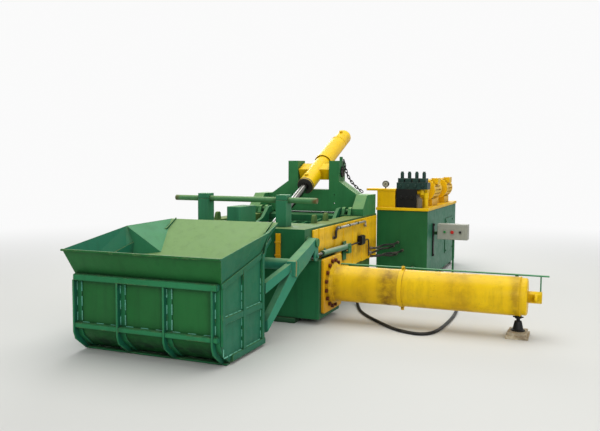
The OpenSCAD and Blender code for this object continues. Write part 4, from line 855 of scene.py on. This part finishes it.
rim = [folded_plate("front_flare", ((-0.660, -1.600, 0.637), (0.660, -1.600, 0.637), (0.706, -1.692, 0.834),
                                    (-0.706, -1.692, 0.834)), 0.008, bucket_green),
       slab("edge_strip", (-708, -1716, 822), (708, -1694, 838), bucket_green)]
for hand in (-1, 1):
    foot_front, foot_mid = (hand * 0.652, -1.600, 0.637), (hand * 0.652, -0.948, 0.785)
    foot_back, lip = (hand * 0.605, -0.700, 0.862), (hand * 0.556, -0.362, 0.986)
    crest, front = (hand * 0.700, -0.873, 0.952), (hand * 0.704, -1.694, 0.834)
    fold, knee = (hand * 0.372, -0.815, 0.722), (hand * 0.644, -0.874, 0.688)
    for corners in ((foot_front, foot_mid, crest), (foot_front, crest, front), (foot_mid, foot_back, crest),
                    (foot_back, lip, crest)):
        rim.append(folded_plate("flare", corners, 0.006, bucket_green))
    for corners in ((lip, fold, crest), (fold, knee, crest)):
        rim.append(folded_plate("cheek", corners, 0.004, cheek_green))
joined("bucket_flare", rim, "bucket_rim")
# The stitch welds are painted a pale turquoise, a lit copy of the bucket green that paints the bluish window
# light caught by the beads.
weld_window_lit = weathered(
    "weld_window_lit", (92, 176, 152), (120, 196, 172), (44, 104, 80), (150, 196, 160), dust=0.3,
    streaks=0.15, wear=0.3, rust=0.1, rough=0.36, dents=0.1)
shell_face, web_face, foot_face, side_face = -1.6005, -1.6060, -1.6085, 0.6505


def stitched(a, b, dash, space):
    """The runs of a stitch weld from a to b."""
    a, b = Vector(a), Vector(b)
    length = (b - a).length
    count = max(1, round((length + space) / (dash + space)))
    pitch = (length + space) / count
    starts = [i * pitch for i in range(count)]
    return [(a.lerp(b, start / length), a.lerp(b, min(1.0, (start + dash) / length))) for start in starts]


bucket_beads = []
for rib in (x / 1000 for x in rib_centres):
    for x, y, dash, space in ((rib - 0.0305, shell_face, 0.072, 0.046),
                              (rib + 0.0300, web_face, 0.072, 0.046),
                              (rib - 0.0135, foot_face, 0.060, 0.058)):
        if abs(x) < side_face:
            bucket_beads += stitched((x, y, 0.262), (x, y, 0.572), dash, space)
for low, high in ((-0.590, -0.245), (-0.175, 0.175), (0.245, 0.590)):
    for z in (0.5862, 0.2458):
        bucket_beads += stitched((low, shell_face, z), (high, shell_face, z), 0.060, 0.060)
side_dash, side_space = 0.050, 0.034
for x in (-side_face, side_face):
    for y in (-1.5592, -1.2658, -1.2142, -0.9258):
        for z0, z1 in ((0.395, 0.575), (0.090, 0.318)):
            bucket_beads += stitched((x, y, z0), (x, y, z1), side_dash, side_space)
    for y0, y1 in ((-1.545, -1.280), (-1.200, -0.940)):
        for z in (0.3808, 0.3292, 0.0748):
            bucket_beads += stitched((x, y0, z), (x, y1, z), side_dash, side_space)
welded("bucket_stitch_welds", bucket_beads, weld_window_lit, 0.0062, 0.013, "bucket_ribs")
arm_green = weathered(
    "arm_green", (42, 124, 98), (56, 138, 108), (26, 66, 50), (128, 168, 118), dust=0.8, streaks=0.25)
dressed("bucket_arms", arm_green, 0.005)
lever_side, lever_top = 0.8255, 0.6815
arm_beads = []
for hand in (-1, 1):
    arm_beads.append([(hand * lever_side, -0.585, 0.560), (hand * lever_side, -0.575, 0.672)])
    arm_beads.append([(hand * 0.748, -0.579, lever_top), (hand * 0.822, -0.579, lever_top)])
seam_tan = weathered(
    "seam_tan", (150, 138, 92), (168, 156, 104), (84, 74, 46), (178, 168, 124), dust=0.3, streaks=0.2,
    wear=0.3, rust=0.6, rough=0.5, dents=0.1)
welded("arm_seams", arm_beads, seam_tan, 0.006, 0.014, "bucket_arms")

# Lid of the charging box. Thick plate with welded ribs on top, two hinge arms
# behind and the clevis ears that the rod of the lid cylinder pulls.
dressed("lid", block_green, 0.004)

# Lid cylinder. Yellow barrel hung in a trunnion on the tower, with a sheet
# guard over its rear half, an oily gland ring and the hard chromed rod that
# runs down to the lid.
dressed("lid_barrel", cylinder_yellow, 0.004)
dressed("lid_guard", cylinder_yellow, 0.0015)
lid_slope, trunnion_y, trunnion_z = math.radians(24.0), 2.090, 1.426
gland_turned = [(-0.4286, 0.078), (-0.4284, 0.094), (-0.4250, 0.0985), (-0.4120, 0.0985), (-0.4115, 0.1006),
                (-0.3920, 0.1006), (-0.3915, 0.0990)]
gland_grey = weathered(
    "gland_grey", (58, 57, 54), (78, 75, 68), (22, 20, 17), (120, 116, 104), dust=0.3, wear=0.7, rough=0.4)
gland_line = [(0.0, trunnion_y + step * math.cos(lid_slope), trunnion_z + step * math.sin(lid_slope))
              for step, r in gland_turned]
gland = swept("gland", gland_line, [r for step, r in gland_turned], 48, gland_grey)
joined("lid_gland", [gland], like="lid_barrel")


def banded(mat, ends, greys):
    """Paints reflections on a bare metal: darkens it in bands by where it faces
    from left to right, as a polished rod mirrors the room round it."""
    tree = mat.node_tree
    colour = tree.nodes["Principled BSDF"].inputs["Base Color"]
    facing = add(tree, "SeparateXYZ", Vector=add(tree, "TexCoord").outputs["Normal"])
    bands = add(tree, "ValToRGB", i0=ramp(tree, facing.outputs["X"], -1.0, 1.0))
    stops = bands.color_ramp.elements
    for stop, place, tone in zip(stops, (0.0, 1.0), ends):
        stop.position, stop.color = place, linear(*tone)
    for place, grey in greys:
        stops.new(place).color = linear(grey, grey, grey - 4)
    painted_reflection = add(tree, "Mix", {"data_type": "RGBA", "blend_type": "MULTIPLY"}, i0=1.0,
               i6=colour.links[0].from_socket, i7=bands)
    tree.links.new(painted_reflection.outputs[2], colour)


# The bands on the hard chrome are a painted reflection of the room.
hard_chrome = bare_metal("hard_chrome", (206, 205, 200), (180, 177, 168), 0.14, 0.02)
banded(hard_chrome, ((78, 80, 80), (70, 74, 74)),
       ((0.16, 150), (0.28, 66), (0.40, 235), (0.52, 120), (0.60, 48), (0.70, 225), (0.80, 96), (0.90, 160)))
dressed("lid_rod", hard_chrome, 0.002)

# Tilt cylinders of the bucket. Slim pale green barrels, with a painted highlight and dust on their tops, on
# brackets welded to the side walls, with chromed rods whose eyes hang on the arm levers.
# The near-white pale tone on the tops of these barrels is a painted highlight, mixed with dust.
tilt_paint = weathered(
    "tilt_paint", (74, 128, 96), (112, 150, 118), (38, 66, 48), (196, 202, 176), dust=0.8, rust=0.5,
    rough=0.36)
dressed("tilt_mounts", tower_green)
for side_name in ("r", "l"):
    dressed("tilt_barrel_" + side_name, tilt_paint, 0.002)
    dressed("tilt_rod_" + side_name, hard_chrome, 0.002)

# Power pack. Oil tank of green plate on the floor, closed by a yellow deck
# with its raised box.
# The side tone paints the bluish window light on the tank's faces to the left and right.
tank_green = weathered(
    "tank_green", (32, 92, 48), (40, 104, 58), (20, 50, 30), (104, 144, 94), dust=0.6, streaks=0.22,
    wear=0.4, rust=0.2, side=(38, 112, 84))
dressed("tank", tank_green, 0.005)
dressed("tank_deck", skin_yellow, 0.004)

# Pressure gauge on the deck box. Black case and pointer, white stained dial
# with printed marks round three quarters of it.
dressed("gauge_case", black_paint, 0.001)
dressed("gauge_needle", black_paint, 0)
dial_x, dial_y, dial_z, dial_radius = 0.735, 2.6775, 1.268, 0.0366
dial_white, dial_tree, dial_shader, dial_place = nodes_of("dial_white")
dial_stain = ramp(dial_tree, noise(dial_tree, dial_place, 40.0, 4.0), 0.45, 0.75)
feed(dial_tree, dial_shader.inputs["Base Color"],
     blended(dial_tree, dial_stain, (186, 180, 160), (140, 130, 104)))
dial_shader.inputs["Roughness"].default_value = 0.35
disc = bmesh.new()
upright = Matrix.Translation((dial_x, dial_y, dial_z)) @ Matrix.Rotation(math.pi / 2, 4, "X")
bmesh.ops.create_cone(disc, cap_ends=True, segments=48, radius1=dial_radius, radius2=dial_radius,
                      depth=0.0008, matrix=upright)
gauge_dial = painted("gauge_dial", disc, dial_white)
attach(gauge_dial, home["gauge_case"])


def wired(name, runs, radius, paint, node):
    """Fine round line along runs of points, on the body of a node."""
    tree, line = line_tree("drawn_wire")
    ring = add(tree, "GeometryNodeCurvePrimitiveCircle", Resolution=8, Radius=radius)
    body = add(tree, "GeometryNodeCurveToMesh", Curve=line, Profile_Curve=ring, Fill_Caps=True)
    grown(name, runs, tree, body, paint, node)


mark_y, long_mark, short_mark, mark_outer = 2.6770, 0.0262, 0.0290, 0.0335
first_mark, mark_step, mark_count = 225, 11.25, 25
dial_marks = []
for i in range(mark_count):
    a = math.radians(first_mark - i * mark_step)
    ends = (long_mark if i % 4 == 0 else short_mark, mark_outer)
    dial_marks.append([(dial_x + r * math.cos(a), mark_y, dial_z + r * math.sin(a)) for r in ends])
wired("gauge_marks", dial_marks, 0.0005, black_paint, "gauge_case")

# Valve gear and motors on the deck. Black steel block with a stack of green
# cast valves, a yellow bent suction pipe, a grey filter canister, two flanged
# motors, and the level gauge on the tank front.
dressed("manifold", black_paint)
valve_green = weathered(
    "valve_green", (28, 56, 50), (44, 74, 66), (11, 16, 14), (104, 116, 100), dust=0.4, streaks=0.35,
    wear=0.7, rust=0.4, rough=0.45)
dressed("valve_stack", valve_green)
dressed("suction_pipe", cylinder_yellow, 0.002)
canister_grey = weathered(
    "canister_grey", (112, 102, 86), (130, 120, 102), (50, 42, 32), (150, 142, 124), streaks=0.5, rust=0.6,
    rough=0.5)
dressed("filter_canister", canister_grey, 0.002)
dressed("pump_motor", skin_yellow)
dressed("level_gauge", black_paint, 0.002)

# Control box. Grey folded sheet on a green bracket beside the tank, with three
# moulded push buttons.
box_grey = weathered(
    "box_grey", (168, 170, 158), (156, 158, 146), (104, 100, 86), (190, 190, 178), dust=0.3, streaks=0.4,
    wear=0.4, rough=0.4, dents=0.1)
dressed("control_box", box_grey)
dressed("control_bracket", tank_green, 0.002)


def moulded(name, colour, dark):
    """Shiny moulded plastic, faintly clouded."""
    mat, tree, shader, where = nodes_of(name)
    fine = noise(tree, where, 220.0, 3.0)
    cloud = ramp(tree, noise(tree, where, 30.0), 0.45, 0.7, 0.0, 0.5)
    surfaced(tree, shader, blended(tree, cloud, colour, dark), ramp(tree, fine, 0.3, 0.7, 0.25, 0.42),
             fine, 0.1, 0.0005)
    return mat


dressed("start_button", moulded("button_green", (24, 130, 60), (20, 90, 44)), 0.001)
dressed("stop_button", moulded("button_red", (190, 26, 20), (130, 20, 16)), 0.002)
dressed("jog_button", moulded("button_black", (28, 28, 28), (16, 16, 16)), 0.001)
